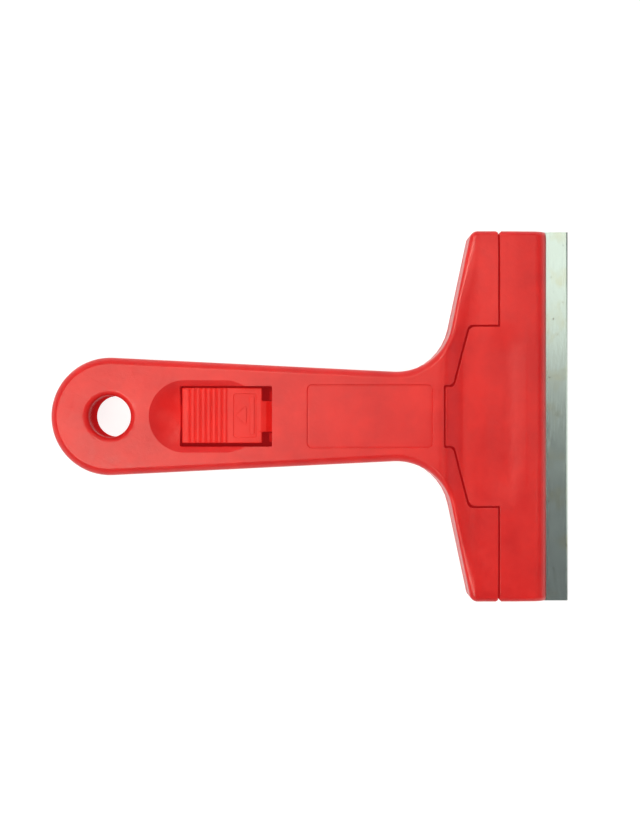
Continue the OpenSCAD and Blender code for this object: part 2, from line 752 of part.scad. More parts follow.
// Panel sunk into the flat end, with a plain press mark left standing: a bar and a point towards the ribs
module press_panel() {
    mark_x = panel_x0 + mark_in;
    translate([0, 0, flat_z - panel_d])
        linear_extrude(eps)
            difference() {
                soft_rect(panel_x0, panel_l, panel_w, panel_r);
                soft_rect(panel_x0 + panel_l - mark_in - mark_bar, mark_bar, panel_w * 0.85, mark_bar / 3);
                polygon([[mark_x, 0], [mark_x + mark_point, mark_point], [mark_x + mark_point, -mark_point]]);
            }
}

// Side view of the neck, whose crest stands proud of the flat end, and of the knuckle under the bridge
module knuckle_profile() {
    translate([hinge_x, hinge_z]) circle(knuckle_r);
    polygon(soft_loop([
        [button_x1 - neck_in, button_under_z - 0.6, 0.5], [hinge_x - 0.6, hinge_z - knuckle_r + 0.1, 0],
        [hinge_x + 0.9, hinge_z + knuckle_r * 0.85, 0], [hinge_x - 0.9, hinge_z + knuckle_r * 0.86, 0.3],
        [button_x1, button_top_z, 0.7], [button_x1 - crest_l + 0.3, button_top_z, 0.25],
        [button_x1 - crest_l, flat_z - crest_in, 0], [button_x1 - neck_in, button_under_z + crest_in, 0]]));
}

module press_button() {
    nose_r = 1.2;
    under_rib_t = 1.2;
    hook_t = 1.1;
    color("tomato") {
        translate([0, button_shift, 0]) {
            difference() {
                rotate([90, 0, 0]) linear_extrude(button_w, center = true) button_profile();
                press_panel();
            }
            // Ribs under the plate
            for (side = [0, 1])
                mirror([0, side, 0])
                    translate([button_x0 + eps, knuckle_w / 2 + eps, button_under_z - under_rib_t])
                        cube([button_l - 2.5 * eps, under_rib_t, under_rib_t + eps / 4]);
        }
        rotate([90, 0, 0]) linear_extrude(knuckle_w, center = true) knuckle_profile();
        // Trunnions
        translate([hinge_x, 0, hinge_z])
            rotate([90, 0, 0]) cylinder(d = trunnion_d, h = knuckle_w + 2 * trunnion_l, center = true);
        // Rib with a round nose that presses the jaw's tail
        translate([spring_x, 0, tail_top_z + touch_gap + nose_r])
            rotate([90, 0, 0]) cylinder(r = nose_r, h = arm_w - 0.6, center = true);
        translate([spring_x - nose_r, (0.6 - arm_w) / 2, tail_top_z + touch_gap + nose_r])
            cube([2 * nose_r, arm_w - 0.6, button_under_z - tail_top_z - nose_r + eps / 4]);
        // Hook under the scoop's floor that keeps the button in its window
        translate([button_x0, -hook_w / 2, scoop_under_z - hook_gap - hook_t])
            cube([hook_t, hook_w, button_under_z - scoop_under_z + hook_gap + hook_t + eps / 4]);
        translate([window_x0 - hook_reach, -hook_w / 2, scoop_under_z - hook_gap - hook_t])
            cube([button_x0 - window_x0 + hook_reach + hook_t, hook_w, hook_t]);
    }
}

module jaw_pivot_pin() {
    color("silver")
        translate([pivot_x, 0, pivot_z])
            rotate([90, 0, 0]) cylinder(d = pin_d, h = pin_l, center = true);
}

// Coil of the return spring: one tube along a helix between its two seats
spring_r = (spring_d - wire_d) / 2;
spring_low_z = bed_z + touch_gap;
spring_high_z = bed_z + spring_l - touch_gap;
spring_pitch = (spring_high_z - spring_low_z - wire_d) / spring_turns;
function helix_at(t) = [
    spring_x + spring_r * cos(360 * t), spring_r * sin(360 * t),
    spring_low_z + wire_d / 2 + spring_pitch * t];

// Least distance between points half a turn or more apart on the coil, less the wire
curl_rings = 12;
coil_points = [for (k = [0:curl_rings * spring_turns]) helix_at(k / curl_rings)];
coil_gap = min([for (i = [0:len(coil_points) - 1]) for (j = [i + curl_rings / 2:len(coil_points) - 1])
    norm(coil_points[i] - coil_points[j])]) - wire_d;
echo("least gap between the spring's turns in mm", coil_gap);

module return_spring() {
    steps = len(coil_points) - 1;
    sides = 6;
    lean = atan(spring_pitch / (2 * PI * spring_r));
    pts = [for (k = [0:steps]) let (a = 360 * k / curl_rings, out = [cos(a), sin(a), 0])
        let (along = [-sin(a) * cos(lean), cos(a) * cos(lean), sin(lean)])
        let (up = cross(out, along))
        for (j = [0:sides - 1])
            coil_points[k] + wire_d / 2 * (cos(60 * j) * out - sin(60 * j) * up)];
    tube = [for (k = [0:steps - 1]) for (j = [0:sides - 1])
        let (i = (j + 1) % sides)
        each quad(k * sides + j, k * sides + i, (k + 1) * sides + i, (k + 1) * sides + j)];
    ends = [for (j = [1:sides - 2])
        each [[0, j + 1, j], [steps * sides, steps * sides + j, steps * sides + j + 1]]];
    color("gainsboro") polyhedron(pts, concat(tube, ends));
}

module blade() {
    slot_w = peg_d + 2 * peg_gap;
    edge_low = (blade_t - edge_t) * hone_share;
    color("lightsteelblue")
        difference() {
            translate([0, 0, bed_z])
                rotate([90, 0, 0])
                    linear_extrude(blade_w, center = true)
                        polygon([[blade_x0, 0], [edge_x - bevel_w, 0], [edge_x, edge_low],
                            [edge_x, edge_low + edge_t], [edge_x - hone_w, blade_t], [blade_x0, blade_t]]);
            // Notches, open to the rear, that fit over the pegs
            at_pegs() {
                cylinder(d = slot_w, h = handle_t);
                translate([-peg_in - eps, -slot_w / 2, 0]) cube([peg_in + eps, slot_w, handle_t]);
            }
        }
}

module cover_screws() {
    recess_l = 2.6;
    recess_w = 0.6;
    tip_h = 1.2;
    color("lightgray")
        at_screws() {
            difference() {
                translate([0, 0, head_low_z]) cylinder(d = screw_head_d, h = screw_head_h);
                for (a = [0, 90])
                    rotate([0, 0, a])
                        translate([-recess_l / 2, -recess_w / 2, 0])
                            cube([recess_l, recess_w, head_low_z + screw_head_h / 2]);
            }
            translate([0, 0, seat_z - eps / 4]) cylinder(d = screw_d, h = screw_l - tip_h + eps / 4);
            translate([0, 0, screw_top_z - tip_h]) cylinder(d1 = screw_d, d2 = screw_d / 4, h = tip_h);
        }
}

handle_shell();
back_cover();
clamp_jaw();
press_button();
jaw_pivot_pin();
return_spring();
blade();
cover_screws();
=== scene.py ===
"""A red ceramic hob scraper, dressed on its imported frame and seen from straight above.

Sizes are in millimetres until a mesh is made, and in metres after that. +X runs from the hanging hole to
the blade's edge, +Z is up, and the origin is the middle of the flat back.
"""

import logging
import math
from dataclasses import dataclass, field
from enum import Enum
from typing import Iterable, Optional, Sequence

import bpy
import numpy as np
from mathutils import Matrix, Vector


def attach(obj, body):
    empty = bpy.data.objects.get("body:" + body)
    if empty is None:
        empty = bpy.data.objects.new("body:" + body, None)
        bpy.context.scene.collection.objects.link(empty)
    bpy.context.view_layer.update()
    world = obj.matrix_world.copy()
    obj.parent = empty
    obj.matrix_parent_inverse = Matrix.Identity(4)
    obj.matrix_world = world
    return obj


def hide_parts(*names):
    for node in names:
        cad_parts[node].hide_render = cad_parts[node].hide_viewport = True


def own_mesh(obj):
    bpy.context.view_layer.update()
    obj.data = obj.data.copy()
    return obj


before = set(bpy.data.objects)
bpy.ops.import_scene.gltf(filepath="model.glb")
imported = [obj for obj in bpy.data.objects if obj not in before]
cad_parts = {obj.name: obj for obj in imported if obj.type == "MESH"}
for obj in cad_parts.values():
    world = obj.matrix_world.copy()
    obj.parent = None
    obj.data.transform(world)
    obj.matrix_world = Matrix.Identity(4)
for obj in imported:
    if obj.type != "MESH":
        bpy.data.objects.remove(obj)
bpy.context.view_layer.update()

MM = 0.001
# Half width of cutting tools that reach past both sides of the scraper's handle
WIDE = 40.0
log = logging.getLogger("scraper")

Array = np.ndarray
Piece = bpy.types.Object
Material = bpy.types.Material
Tree = bpy.types.NodeTree
Node = bpy.types.Node
Link = tuple[Node, str]
Pair = tuple[float, float]
Triple = tuple[float, float, float]


class Body(str, Enum):
    """The bodies that new pieces ride on."""

    HANDLE = "handle"
    JAW = "jaw"
    BUTTON = "button"


class Slot(str, Enum):
    """The record's material slots, one named for each kind of new piece."""

    SHELL = "shell_plastic"
    JAW = "jaw_plastic"
    BUTTON = "button_plastic"
    SPRING = "spring_steel"


class Cut(str, Enum):
    """How one solid works on another."""

    TAKE = "DIFFERENCE"
    KEEP = "INTERSECT"
    ADD = "UNION"


# ---- colours and nodes


def linear(code: str) -> tuple[float, float, float, float]:
    """An sRGB hex colour in linear light.

    Args:
        code: six hex digits.

    Returns:
        Red, green, blue and an alpha of 1. A channel c up to 0.04045 is c / 12.92, and above that
        ((c + 0.055) / 1.055) to the power 2.4.
    """
    c = np.array([int(code[i : i + 2], 16) for i in (0, 2, 4)]) / 255
    light = np.where(c <= 0.04045, c / 12.92, ((c + 0.055) / 1.055) ** 2.4)
    return (*light.tolist(), 1.0)


def live(sockets: bpy.types.bpy_prop_collection, name: str) -> bpy.types.NodeSocket:
    """The socket in use with a name, or with a number where names repeat."""
    return sockets[int(name)] if name.isdigit() else next(s for s in sockets if s.enabled and s.name == name)


def add(tree: Tree, kind: str, links: Optional[dict[str, Link]] = None, **values) -> Node:
    """Adds one node with its settings and links.

    Args:
        tree: the node tree.
        kind: the node's type, without the ShaderNode prefix.
        links: for an input's name or number, the node and the output that feed it.
        values: settings in small letters, and inputs by their names with underscores for spaces.

    Returns:
        The node.
    """
    node = tree.nodes.new("ShaderNode" + kind)
    for key, value in values.items():
        if key[0].islower():
            setattr(node, key, value)
        else:
            live(node.inputs, key.replace("_", " ")).default_value = value
    for key, (source, output) in (links or {}).items():
        tree.links.new(live(source.outputs, output), live(node.inputs, key))
    return node


# ---- outlines, all in millimetres


def unit(v: Array) -> Array:
    """The vector of length 1 along v."""
    return v / np.linalg.norm(v)


def heading(degrees: float) -> Array:
    """The plane vector of length 1 at an angle from +X."""
    return np.array([math.cos(math.radians(degrees)), math.sin(math.radians(degrees))])


def turn(a: Array, b: Array) -> float:
    """The cross product of two plane vectors, a.x b.y - a.y b.x."""
    return float(a[0] * b[1] - a[1] * b[0])


def turn_all(outline: Array) -> Array:
    """Twice the area of each triangle from the origin to a side of the outline, x y' - y x'."""
    after = np.roll(outline, -1, axis=0)
    return outline[:, 0] * after[:, 1] - outline[:, 1] * after[:, 0]


def crossing(p: Array, u: Array, q: Array, v: Array) -> Array:
    """The point where the line through p along u meets the line through q along v.

    Returns:
        p + u t, with t = cross(q - p, v) / cross(u, v).
    """
    return p + u * turn(q - p, v) / turn(u, v)


def between(p: Array, q: Array, count: int) -> Array:
    """count points spaced evenly inside the stretch from p to q, without its ends."""
    t = np.linspace(0, 1, count + 2)[1:-1, None]
    return p + (q - p) * t


def fillet(p: Array, q: Array, s: Array, radius: float, steps: int) -> Array:
    """The arc that rounds corner q of the path p, q, s.

    Args:
        p, q, s: three points of the path.
        radius: the arc's radius, which shrinks where the two sides have no room for it.
        steps: the number of steps along the arc.

    Returns:
        steps + 1 points. With h half the corner's angle, the arc starts radius / tan(h) from q along each side,
        and its centre lies radius / sin(h) from q along the bisector.
    """
    u, v = unit(p - q), unit(s - q)
    half = math.acos(np.clip(u @ v, -1, 1)) / 2
    cut = min(radius / math.tan(half), 0.49 * np.linalg.norm(p - q), 0.49 * np.linalg.norm(s - q))
    r = cut * math.tan(half)
    centre = q + unit(u + v) * r / math.sin(half)
    first = q + u * cut - centre
    sweep = (math.pi - 2 * half) * (1 if turn(q - p, s - q) > 0 else -1)
    a = math.atan2(first[1], first[0]) + sweep * np.linspace(0, 1, steps + 1)
    return centre + r * np.column_stack([np.cos(a), np.sin(a)])


def rounded(corners: Sequence[Triple], closed: bool = True, steps: int = 10) -> Array:
    """A path whose corners are rounded.

    Args:
        corners: x, y and radius of each corner, where 0 leaves it sharp.
        closed: whether the path closes on itself.
        steps: steps of each arc.

    Returns:
        The path's points.
    """
    pts = np.array([c[:2] for c in corners], float)
    last = len(pts) - 1
    parts = []
    for i, (_, _, r) in enumerate(corners):
        if r == 0 or (not closed and i in (0, last)):
            parts.append(pts[i : i + 1])
        else:
            parts.append(fillet(pts[i - 1], pts[i], pts[(i + 1) % len(pts)], r, steps))
    return np.vstack(parts)


def both_sides(half: Array) -> Array:
    """A half outline from the front of the +Y side, joined to its mirror image across the X axis."""
    return np.vstack([half, (half * [1, -1])[::-1]])


def box_outline(x0: float, x1: float, y0: float, y1: float) -> Array:
    """A rectangle between two corners."""
    return np.array([[x0, y0], [x1, y0], [x1, y1], [x0, y1]])


def rounded_box(x0: float, x1: float, width: float, radius: float) -> Array:
    """A rectangle with round corners, centred across the X axis."""
    w = width / 2
    return rounded([(x0, -w, radius), (x1, -w, radius), (x1, w, radius), (x0, w, radius)])


# ---- meshes


def grid_faces(rows: int, cols: int, wrap: bool) -> Array:
    """Quads between neighbouring points of a grid that is numbered row by row.

    Args:
        rows, cols: the grid's counts.
        wrap: whether the last column joins the first.
    """
    k = np.arange(rows - 1)[:, None] * cols
    j = np.arange(cols if wrap else cols - 1)[None]
    i = (j + 1) % cols
    return np.stack([k + j, k + i, k + cols + i, k + cols + j], -1).reshape(-1, 4)


def solid(name: str, points: Array, faces: Iterable) -> Piece:
    """A mesh object at the origin.

    Args:
        name: the object's name.
        points: corners in millimetres.
        faces: the faces' point numbers.
    """
    mesh = bpy.data.meshes.new(name)
    mesh.from_pydata((np.asarray(points, float) * MM).tolist(), [], [list(map(int, f)) for f in faces])
    mesh.validate()
    ob = bpy.data.objects.new(name, mesh)
    bpy.context.scene.collection.objects.link(ob)
    return ob


def loft(name: str, rings: Array) -> Piece:
    """A closed solid through rings with the same number of points, with a flat face on each end.

    Args:
        name: the object's name.
        rings: an array of rings, points and coordinates, each ring anticlockwise seen against the way they run.
    """
    rows, cols = rings.shape[:2]
    sides = grid_faces(rows, cols, True).tolist()
    ends = [list(range(cols))[::-1], list(range((rows - 1) * cols, rows * cols))]
    return solid(name, rings.reshape(-1, 3), sides + ends)


def prism(name: str, outline: Array, low: float, high: float) -> Piece:
    """An outline carried straight up from one height to another."""
    if np.sum(turn_all(outline)) < 0:
        outline = outline[::-1]
    rings = np.stack([np.column_stack([outline, np.full(len(outline), z)]) for z in (low, high)])
    return loft(name, rings)


def slab(name: str, profile: Array, width: float, shift: float = 0.0, edge: float = 0.0) -> Piece:
    """A side view in X and Z, carried across from -Y to +Y.

    Args:
        name: the object's name.
        profile: the side view's outline.
        width: the width across Y.
        shift: how far the middle lies to +Y.
        edge: radius of the soft edge at both ends. There the outline shrinks towards its middle by
            edge - sqrt(edge^2 - d^2), with d the distance into the soft edge.
    """
    if np.sum(turn_all(profile)) > 0:
        profile = profile[::-1]
    a = np.linspace(0, math.pi / 2, 7 if edge else 1)
    y, inset = -width / 2 + edge * (1 - np.cos(a)), edge * (1 - np.sin(a))
    y, inset = np.concatenate([y, -y[::-1]]), np.concatenate([inset, inset[::-1]])
    low, high = profile.min(0), profile.max(0)
    mid, half = (low + high) / 2, (high - low) / 2
    flat = mid + (profile - mid) * (1 - inset[:, None, None] / half)
    rings = np.stack([flat[..., 0], np.broadcast_to(y[:, None] + shift, flat.shape[:2]), flat[..., 1]], -1)
    return loft(name, rings)


def revolved(name: str, profile: Array, centre: Triple, axis: int, steps: int = 64) -> Piece:
    """A profile of radius and height that turns round an axis, with a pole at each end.

    Args:
        name: the object's name.
        profile: radius and height along the axis, from the low pole to the high one, both of radius 0.
        centre: the point that heights are counted from.
        axis: 0 for X, 1 for Y and 2 for Z.
        steps: steps round the axis.

    Returns:
        The object. At angle a, a point lies r cos(a) and r sin(a) along the two axes that follow in X, Y, Z order.
    """
    a = np.linspace(0, 2 * math.pi, steps, endpoint=False)
    r, h = profile[1:-1, 0:1], profile[1:-1, 1:2]
    pts = np.empty((len(r), steps, 3))
    pts[..., axis], pts[..., (axis + 1) % 3], pts[..., (axis + 2) % 3] = h, r * np.cos(a), r * np.sin(a)
    poles = np.zeros((2, 3))
    poles[:, axis] = profile[[0, -1], 1]
    n = pts.shape[0] * steps
    j, i = np.arange(steps), (np.arange(steps) + 1) % steps
    fans = np.concatenate([
        np.stack([np.full(steps, n), i, j], -1),
        np.stack([np.full(steps, n + 1), n - steps + j, n - steps + i], -1)])
    faces = grid_faces(len(r), steps, True).tolist() + fans.tolist()
    return solid(name, np.vstack([pts.reshape(-1, 3), poles]) + centre, faces)


def rod(name: str, radius: float, length: float, centre: Triple, axis: int) -> Piece:
    """A cylinder centred on a point."""
    h = length / 2
    return revolved(name, np.array([[0, -h], [radius, -h], [radius, h], [0, h]]), centre, axis)


def shift_all(pieces: Sequence[Piece], y: float) -> None:
    """Moves the meshes of pieces by y millimetres towards +Y."""
    for ob in pieces:
        ob.data.transform(Matrix.Translation((0, y * MM, 0)))


def carve(ob: Piece, how: Cut, *tools: Piece) -> Piece:
    """Works other solids into one and deletes them.

    Args:
        ob: the solid that changes.
        how: whether they are taken away, added, or what both share is kept.
        tools: the other solids.

    Returns:
        The changed solid.
    """
    for tool in tools:
        step = ob.modifiers.new(tool.name, "BOOLEAN")
        step.operation, step.object, step.solver = how.value, tool, "MANIFOLD"
    graph = bpy.context.evaluated_depsgraph_get()
    mesh = bpy.data.meshes.new_from_object(ob.evaluated_get(graph))
    ob.modifiers.clear()
    old, ob.data = ob.data, mesh
    bpy.data.meshes.remove(old)
    for tool in tools:
        data = tool.data
        bpy.data.objects.remove(tool)
        bpy.data.meshes.remove(data)
    return ob


def finish_faces(ob: Piece, sharp: float = 24.0) -> None:
    """Shades a piece smooth, but for edges that turn by more than an angle in degrees."""
    mesh = ob.data
    mesh.name = ob.name
    mesh.polygons.foreach_set("use_smooth", np.ones(len(mesh.polygons), bool))
    mesh.set_sharp_from_angle(angle=math.radians(sharp))
    ob.modifiers.new("even shading", "WEIGHTED_NORMAL").keep_sharp = True


def dress(ob: Piece, material: Material, body: Body, slot: Slot, *nodes: str) -> None:
    """Gives a new piece its material and body, and hides the CAD nodes that it stands for."""
    ob.data.materials.clear()
    ob.data.materials.append(material)
    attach(ob, body.value)
    if nodes:
        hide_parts(*nodes)
    log.info("%s: %d faces, rides on %s, in %s", ob.name, len(ob.data.polygons), body.value, material.name)


def paint_node(name: str, material: Material) -> None:
    """Gives a CAD node its finish."""
    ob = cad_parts[name]
    for place in ob.material_slots:
        place.material = material
    log.info("%s: CAD node in %s", name, material.name)


# ---- finishes


def blank(name: str) -> tuple[Material, Tree]:
    """A material with an empty node tree."""
    mat = bpy.data.materials.new(name)
    mat.use_nodes = True
    mat.node_tree.nodes.clear()
    return mat, mat.node_tree


def join_metal(tree: Tree, colour: Node, rough: Node, bump: Node) -> None:
    """Joins a metal's colour, roughness and bump to its shader, and the shader to the material's surface."""
    shader = add(
        tree, "BsdfPrincipled",
        {"Base Color": (colour, "Result"), "Roughness": (rough, "Result"), "Normal": (bump, "Normal")}, Metallic=1.0)
    add(tree, "OutputMaterial", {"Surface": (shader, "BSDF")})


def hairlines(tree: Tree, at: dict[str, Link], degrees: float, spread_mm: float) -> Node:
    """Sparse hairline scratches that run one way.

    Args:
        tree: the material's nodes.
        at: the coordinates.
        degrees: the way they run, from +Y.
        spread_mm: size of the noise that they come from, about four times their width.

    Returns:
        A mask of 0 to 1, from the peaks of a noise that is stretched thirty times.
    """
    turned = add(tree, "Mapping", at, Rotation=(0.0, 0.0, math.radians(degrees)))
    long = add(tree, "Mapping", {"Vector": (turned, "Vector")}, Scale=(1.0, 0.033, 1.0))
    noise = add(tree, "TexNoise", {"Vector": (long, "Vector")}, Scale=1000 / spread_mm, Detail=0.0)
    return add(tree, "MapRange", {"Value": (noise, "Fac")}, From_Min=0.745, From_Max=0.79)


@dataclass(frozen=True)
class MouldedPlastic:
    """Polypropylene, injection moulded in a lightly blasted steel mould and coloured red through.

    The pigment takes nearly all green and blue, so whatever is pink on it is sheen. That sheen is uneven
    because the surface cools unevenly, in clouds a few millimetres across. Light runs a millimetre or two into
    it. Narrow gaps and hollows get a painted red glow, an emission that stands in for light passing the thin
    walls, so they stay deep red instead of black, and painted shade takes their sheen away. Its edges are painted
    paler as a highlight, and handling has left a few hairlines.
    """

    name: str = "red moulded polypropylene"
    pigment: str = "D42120"
    deep: str = "C41A1C"
    # Pale pink painted on the edges as a highlight
    edge_highlight: str = "E04740"
    roughness: float = 0.30
    ior: float = 1.45
    # Roughness below and above its middle value in the skin's clouds, and how much rougher a scratch is
    drift: Pair = (-0.02, 0.05)
    scratched: float = 0.12
    # Clouds in the sheen, the mould's blasted grain, drawn coarse enough to show, and hairline scratches
    cloud_mm: float = 3.2
    grain_mm: float = 0.45
    scratch_mm: float = 0.5
    scratch_ways: Pair = (25.0, -60.0)
    # Width of the softened edges, how far the softened normal leans there from where the painted edge highlight
    # starts to where it is full, as the cosine of the angle, and the most that the edge pales with that highlight
    rim_mm: float = 0.24
    highlight_lean: Pair = (0.97, 0.72)
    highlight_most: float = 0.5
    # Strength of each bump and its height in millimetres
    sink_bump: Pair = (0.6, 0.15)
    grain_bump: Pair = (0.2, 0.02)
    scratch_bump: Pair = (0.3, 0.02)
    # How far light runs into the plastic, and the share of it in each colour
    glow_mm: float = 1.8
    glow: Triple = (1.0, 0.12, 0.1)
    # Hollows this deep get a painted red glow, an emission that stands in for light passing the thin walls, and
    # painted shade on their sheen. Then the glow's strength and tone, and the open shares of a place's surroundings
    # over which the glow fades out and the painted shade lifts so the sheen comes back
    hollow_mm: float = 14.0
    painted_glow: float = 0.12
    painted_glow_tone: str = "FF3A42"
    glow_share: Pair = (0.05, 0.5)
    sheen_share: Pair = (0.4, 0.97)
    # Full specular level, and the lower level in the hanging hole's bore, a painted shade that darkens its wall
    sheen: float = 0.5
    bore_sheen: float = 0.12
    bore: Triple = (-53.5, 0.0, 5.6)

    def make(self) -> Material:
        """Builds the material.

        Returns:
            A material whose colour drifts a little between two reds in clouds and pales on its edges as a painted
            highlight, whose roughness drifts with finer clouds, and whose bump adds the skin's slow sink, the grain and
            scratches. The highlight's share comes from how far the softened normal leans away from the face's own.
            Where a face sees little of its surroundings, painted shade fades the sheen and a little painted red glow
            comes out of the wall.
        """
        mat, tree = blank(self.name)
        at = {"Vector": (add(tree, "TexCoord"), "Object")}
        clouds = add(tree, "TexNoise", at, Scale=1000 / (4 * self.cloud_mm), Detail=4.0, Roughness=0.6)
        fine = add(tree, "TexNoise", at, Scale=1000 / self.cloud_mm, Detail=6.0, Roughness=0.68)
        grain = add(tree, "TexNoise", at, Scale=1000 / self.grain_mm, Detail=2.0, Roughness=0.5)
        one, other = ((hairlines(tree, at, way, self.scratch_mm), "Result") for way in self.scratch_ways)
        lines = add(tree, "Math", {"0": one, "1": other}, operation="MAXIMUM")
        soft = add(tree, "Bevel", samples=6, Radius=self.rim_mm * MM)
        lean = add(tree, "VectorMath", {"0": (soft, "Normal"), "1": (add(tree, "NewGeometry"), "True Normal")},
                   operation="DOT_PRODUCT")
        # Painted highlight: edges pale where the softened normal leans away from the face's own
        edge_highlight = add(tree, "MapRange", {"Value": (lean, "Value")}, From_Min=self.highlight_lean[0],
                   From_Max=self.highlight_lean[1], To_Max=self.highlight_most)
        cloudy = add(tree, "MapRange", {"Value": (clouds, "Fac")}, From_Min=0.35, From_Max=0.65)
        red = add(tree, "Mix", {"Factor": (cloudy, "Result")}, data_type="RGBA",
                  A=linear(self.deep), B=linear(self.pigment))
        colour = add(tree, "Mix", {"Factor": (edge_highlight, "Result"), "A": (red, "Result")}, data_type="RGBA",
                     B=linear(self.edge_highlight))
        skin = add(tree, "MapRange", {"Value": (fine, "Fac")}, From_Min=0.4, From_Max=0.64,
                   To_Min=self.roughness + self.drift[0], To_Max=self.roughness + self.drift[1])
        rough = add(tree, "Math", {"0": (lines, "Value"), "2": (skin, "Result")}, operation="MULTIPLY_ADD")
        rough.inputs[1].default_value = self.scratched
        sink = add(tree, "Bump", {"Height": (fine, "Fac"), "Normal": (soft, "Normal")},
                   Strength=self.sink_bump[0], Distance=self.sink_bump[1] * MM)
        blasted = add(tree, "Bump", {"Height": (grain, "Fac"), "Normal": (sink, "Normal")},
                      Strength=self.grain_bump[0], Distance=self.grain_bump[1] * MM)
        cut = add(tree, "Bump", {"Height": (lines, "Value"), "Normal": (blasted, "Normal")}, invert=True,
                  Strength=self.scratch_bump[0], Distance=self.scratch_bump[1] * MM)
        open_share = (add(tree, "AmbientOcclusion", samples=4, Distance=self.hollow_mm * MM), "AO")
        # Painted shade: a lower specular level inside the hanging hole's bore darkens its wall
        flat = add(tree, "Mapping", at, Scale=(1.0, 1.0, 0.0))
        x, y, radius = (v * MM for v in self.bore)
        away = add(tree, "VectorMath", {"0": (flat, "Vector")}, operation="DISTANCE")
        away.inputs[1].default_value = (x, y, 0.0)
        bore_shade = add(tree, "MapRange", {"Value": (away, "Value")}, From_Min=radius, From_Max=radius + MM,
                   To_Min=self.bore_sheen, To_Max=self.sheen)
        # Painted shade: the sheen fades where a face sees little of its surroundings
        lit = add(tree, "MapRange", {"Value": open_share}, From_Min=self.sheen_share[0],
                  From_Max=self.sheen_share[1], To_Max=self.sheen)
        level = add(tree, "Math", {"0": (bore_shade, "Result"), "1": (lit, "Result")}, operation="MINIMUM")
        # Painted glow: a red emission in hollows that stands in for light passing the walls and bouncing there
        painted_glow_strength = add(tree, "MapRange", {"Value": open_share}, From_Min=self.glow_share[0],
                         From_Max=self.glow_share[1], To_Min=self.painted_glow, To_Max=0.0)
        shader = add(
            tree, "BsdfPrincipled",
            {"Base Color": (colour, "Result"), "Roughness": (rough, "Value"), "Normal": (cut, "Normal"),
             "Specular IOR Level": (level, "Value"), "Emission Strength": (painted_glow_strength, "Result")},
            Emission_Color=linear(self.painted_glow_tone), IOR=self.ior, Subsurface_Weight=0.25,
            Subsurface_Radius=self.glow, Subsurface_Scale=self.glow_mm * MM)
        add(tree, "OutputMaterial", {"Surface": (shader, "BSDF")})
        return mat


@dataclass(frozen=True)
class BladeSteel:
    """Cold-rolled carbon steel strip, hardened and ground.

    Its fine marks run along the blade and streak what it mirrors. Use has left small dark specks and a faint
    yellowish stain in places.
    """

    name: str = "rolled and ground blade steel"
    # Both tones lean green-blue: the steel's own grey carries a painted tint of what the blade mirrors
    tone: str = "BDCDCE"
    dull: str = "B2C0C0"
    stain: str = "B4B8A4"
    speck: str = "6B6558"
    roughness: float = 0.22
    # Width of the marks, and sizes of the stains and specks
    mark_mm: float = 0.28
    stain_mm: float = 7.14
    speck_mm: float = 0.91

    def make(self) -> Material:
        """Builds the material.

        Returns:
            A metal with marks stretched twenty times along Y in its colour, roughness and bump, clouds of stain,
            and specks where a fine noise is very high.
        """
        mat, tree = blank(self.name)
        at = {"Vector": (add(tree, "TexCoord"), "Object")}
        along = {"Vector": (add(tree, "Mapping", at, Scale=(1.0, 0.05, 1.0)), "Vector")}
        marks = add(tree, "TexNoise", along, Scale=1000 / self.mark_mm, Detail=3.0, Roughness=0.6)
        clouds = add(tree, "TexNoise", at, Scale=1000 / self.stain_mm, Detail=5.0, Roughness=0.6)
        dots = add(tree, "TexNoise", at, Scale=1000 / self.speck_mm, Detail=1.0)
        streaks = add(tree, "MapRange", {"Value": (marks, "Fac")}, From_Min=0.3, From_Max=0.7)
        stained = add(tree, "MapRange", {"Value": (clouds, "Fac")}, From_Min=0.52, From_Max=0.72, To_Max=0.6)
        specked = add(tree, "MapRange", {"Value": (dots, "Fac")}, From_Min=0.73, From_Max=0.77, To_Max=0.7)
        base = add(tree, "Mix", {"Factor": (streaks, "Result")}, data_type="RGBA",
                   A=linear(self.dull), B=linear(self.tone))
        aged = add(tree, "Mix", {"Factor": (stained, "Result"), "A": (base, "Result")}, data_type="RGBA",
                   B=linear(self.stain))
        colour = add(tree, "Mix", {"Factor": (specked, "Result"), "A": (aged, "Result")}, data_type="RGBA",
                     B=linear(self.speck))
        rough = add(tree, "MapRange", {"Value": (marks, "Fac")}, From_Min=0.3, From_Max=0.7,
                    To_Min=self.roughness - 0.01, To_Max=self.roughness + 0.03)
        bump = add(tree, "Bump", {"Height": (marks, "Fac")}, Strength=0.1, Distance=0.002 * MM)
        join_metal(tree, colour, rough, bump)
        return mat


@dataclass(frozen=True)
class SmallSteel:
    """Drawn or plated steel of the small parts inside, bright, with slightly uneven plating and dull patches."""

    name: str
    tone: str
    dull: str
    roughness: float
    cloud_mm: float = 1.11

    def make(self) -> Material:
        """Builds the material: a metal whose colour and roughness drift in clouds of one size."""
        mat, tree = blank(self.name)
        at = {"Vector": (add(tree, "TexCoord"), "Object")}
        clouds = add(tree, "TexNoise", at, Scale=1000 / self.cloud_mm, Detail=3.0)
        cloudy = add(tree, "MapRange", {"Value": (clouds, "Fac")}, From_Min=0.35, From_Max=0.7)
        colour = add(tree, "Mix", {"Factor": (cloudy, "Result")}, data_type="RGBA",
                     A=linear(self.tone), B=linear(self.dull))
        rough = add(tree, "MapRange", {"Value": (clouds, "Fac")}, From_Min=0.3, From_Max=0.7,
                    To_Min=self.roughness - 0.06, To_Max=self.roughness + 0.1)
        bump = add(tree, "Bump", {"Height": (clouds, "Fac")}, Strength=0.1, Distance=0.01 * MM)
        join_metal(tree, colour, rough, bump)
        return mat


# ---- the scraper's outer form


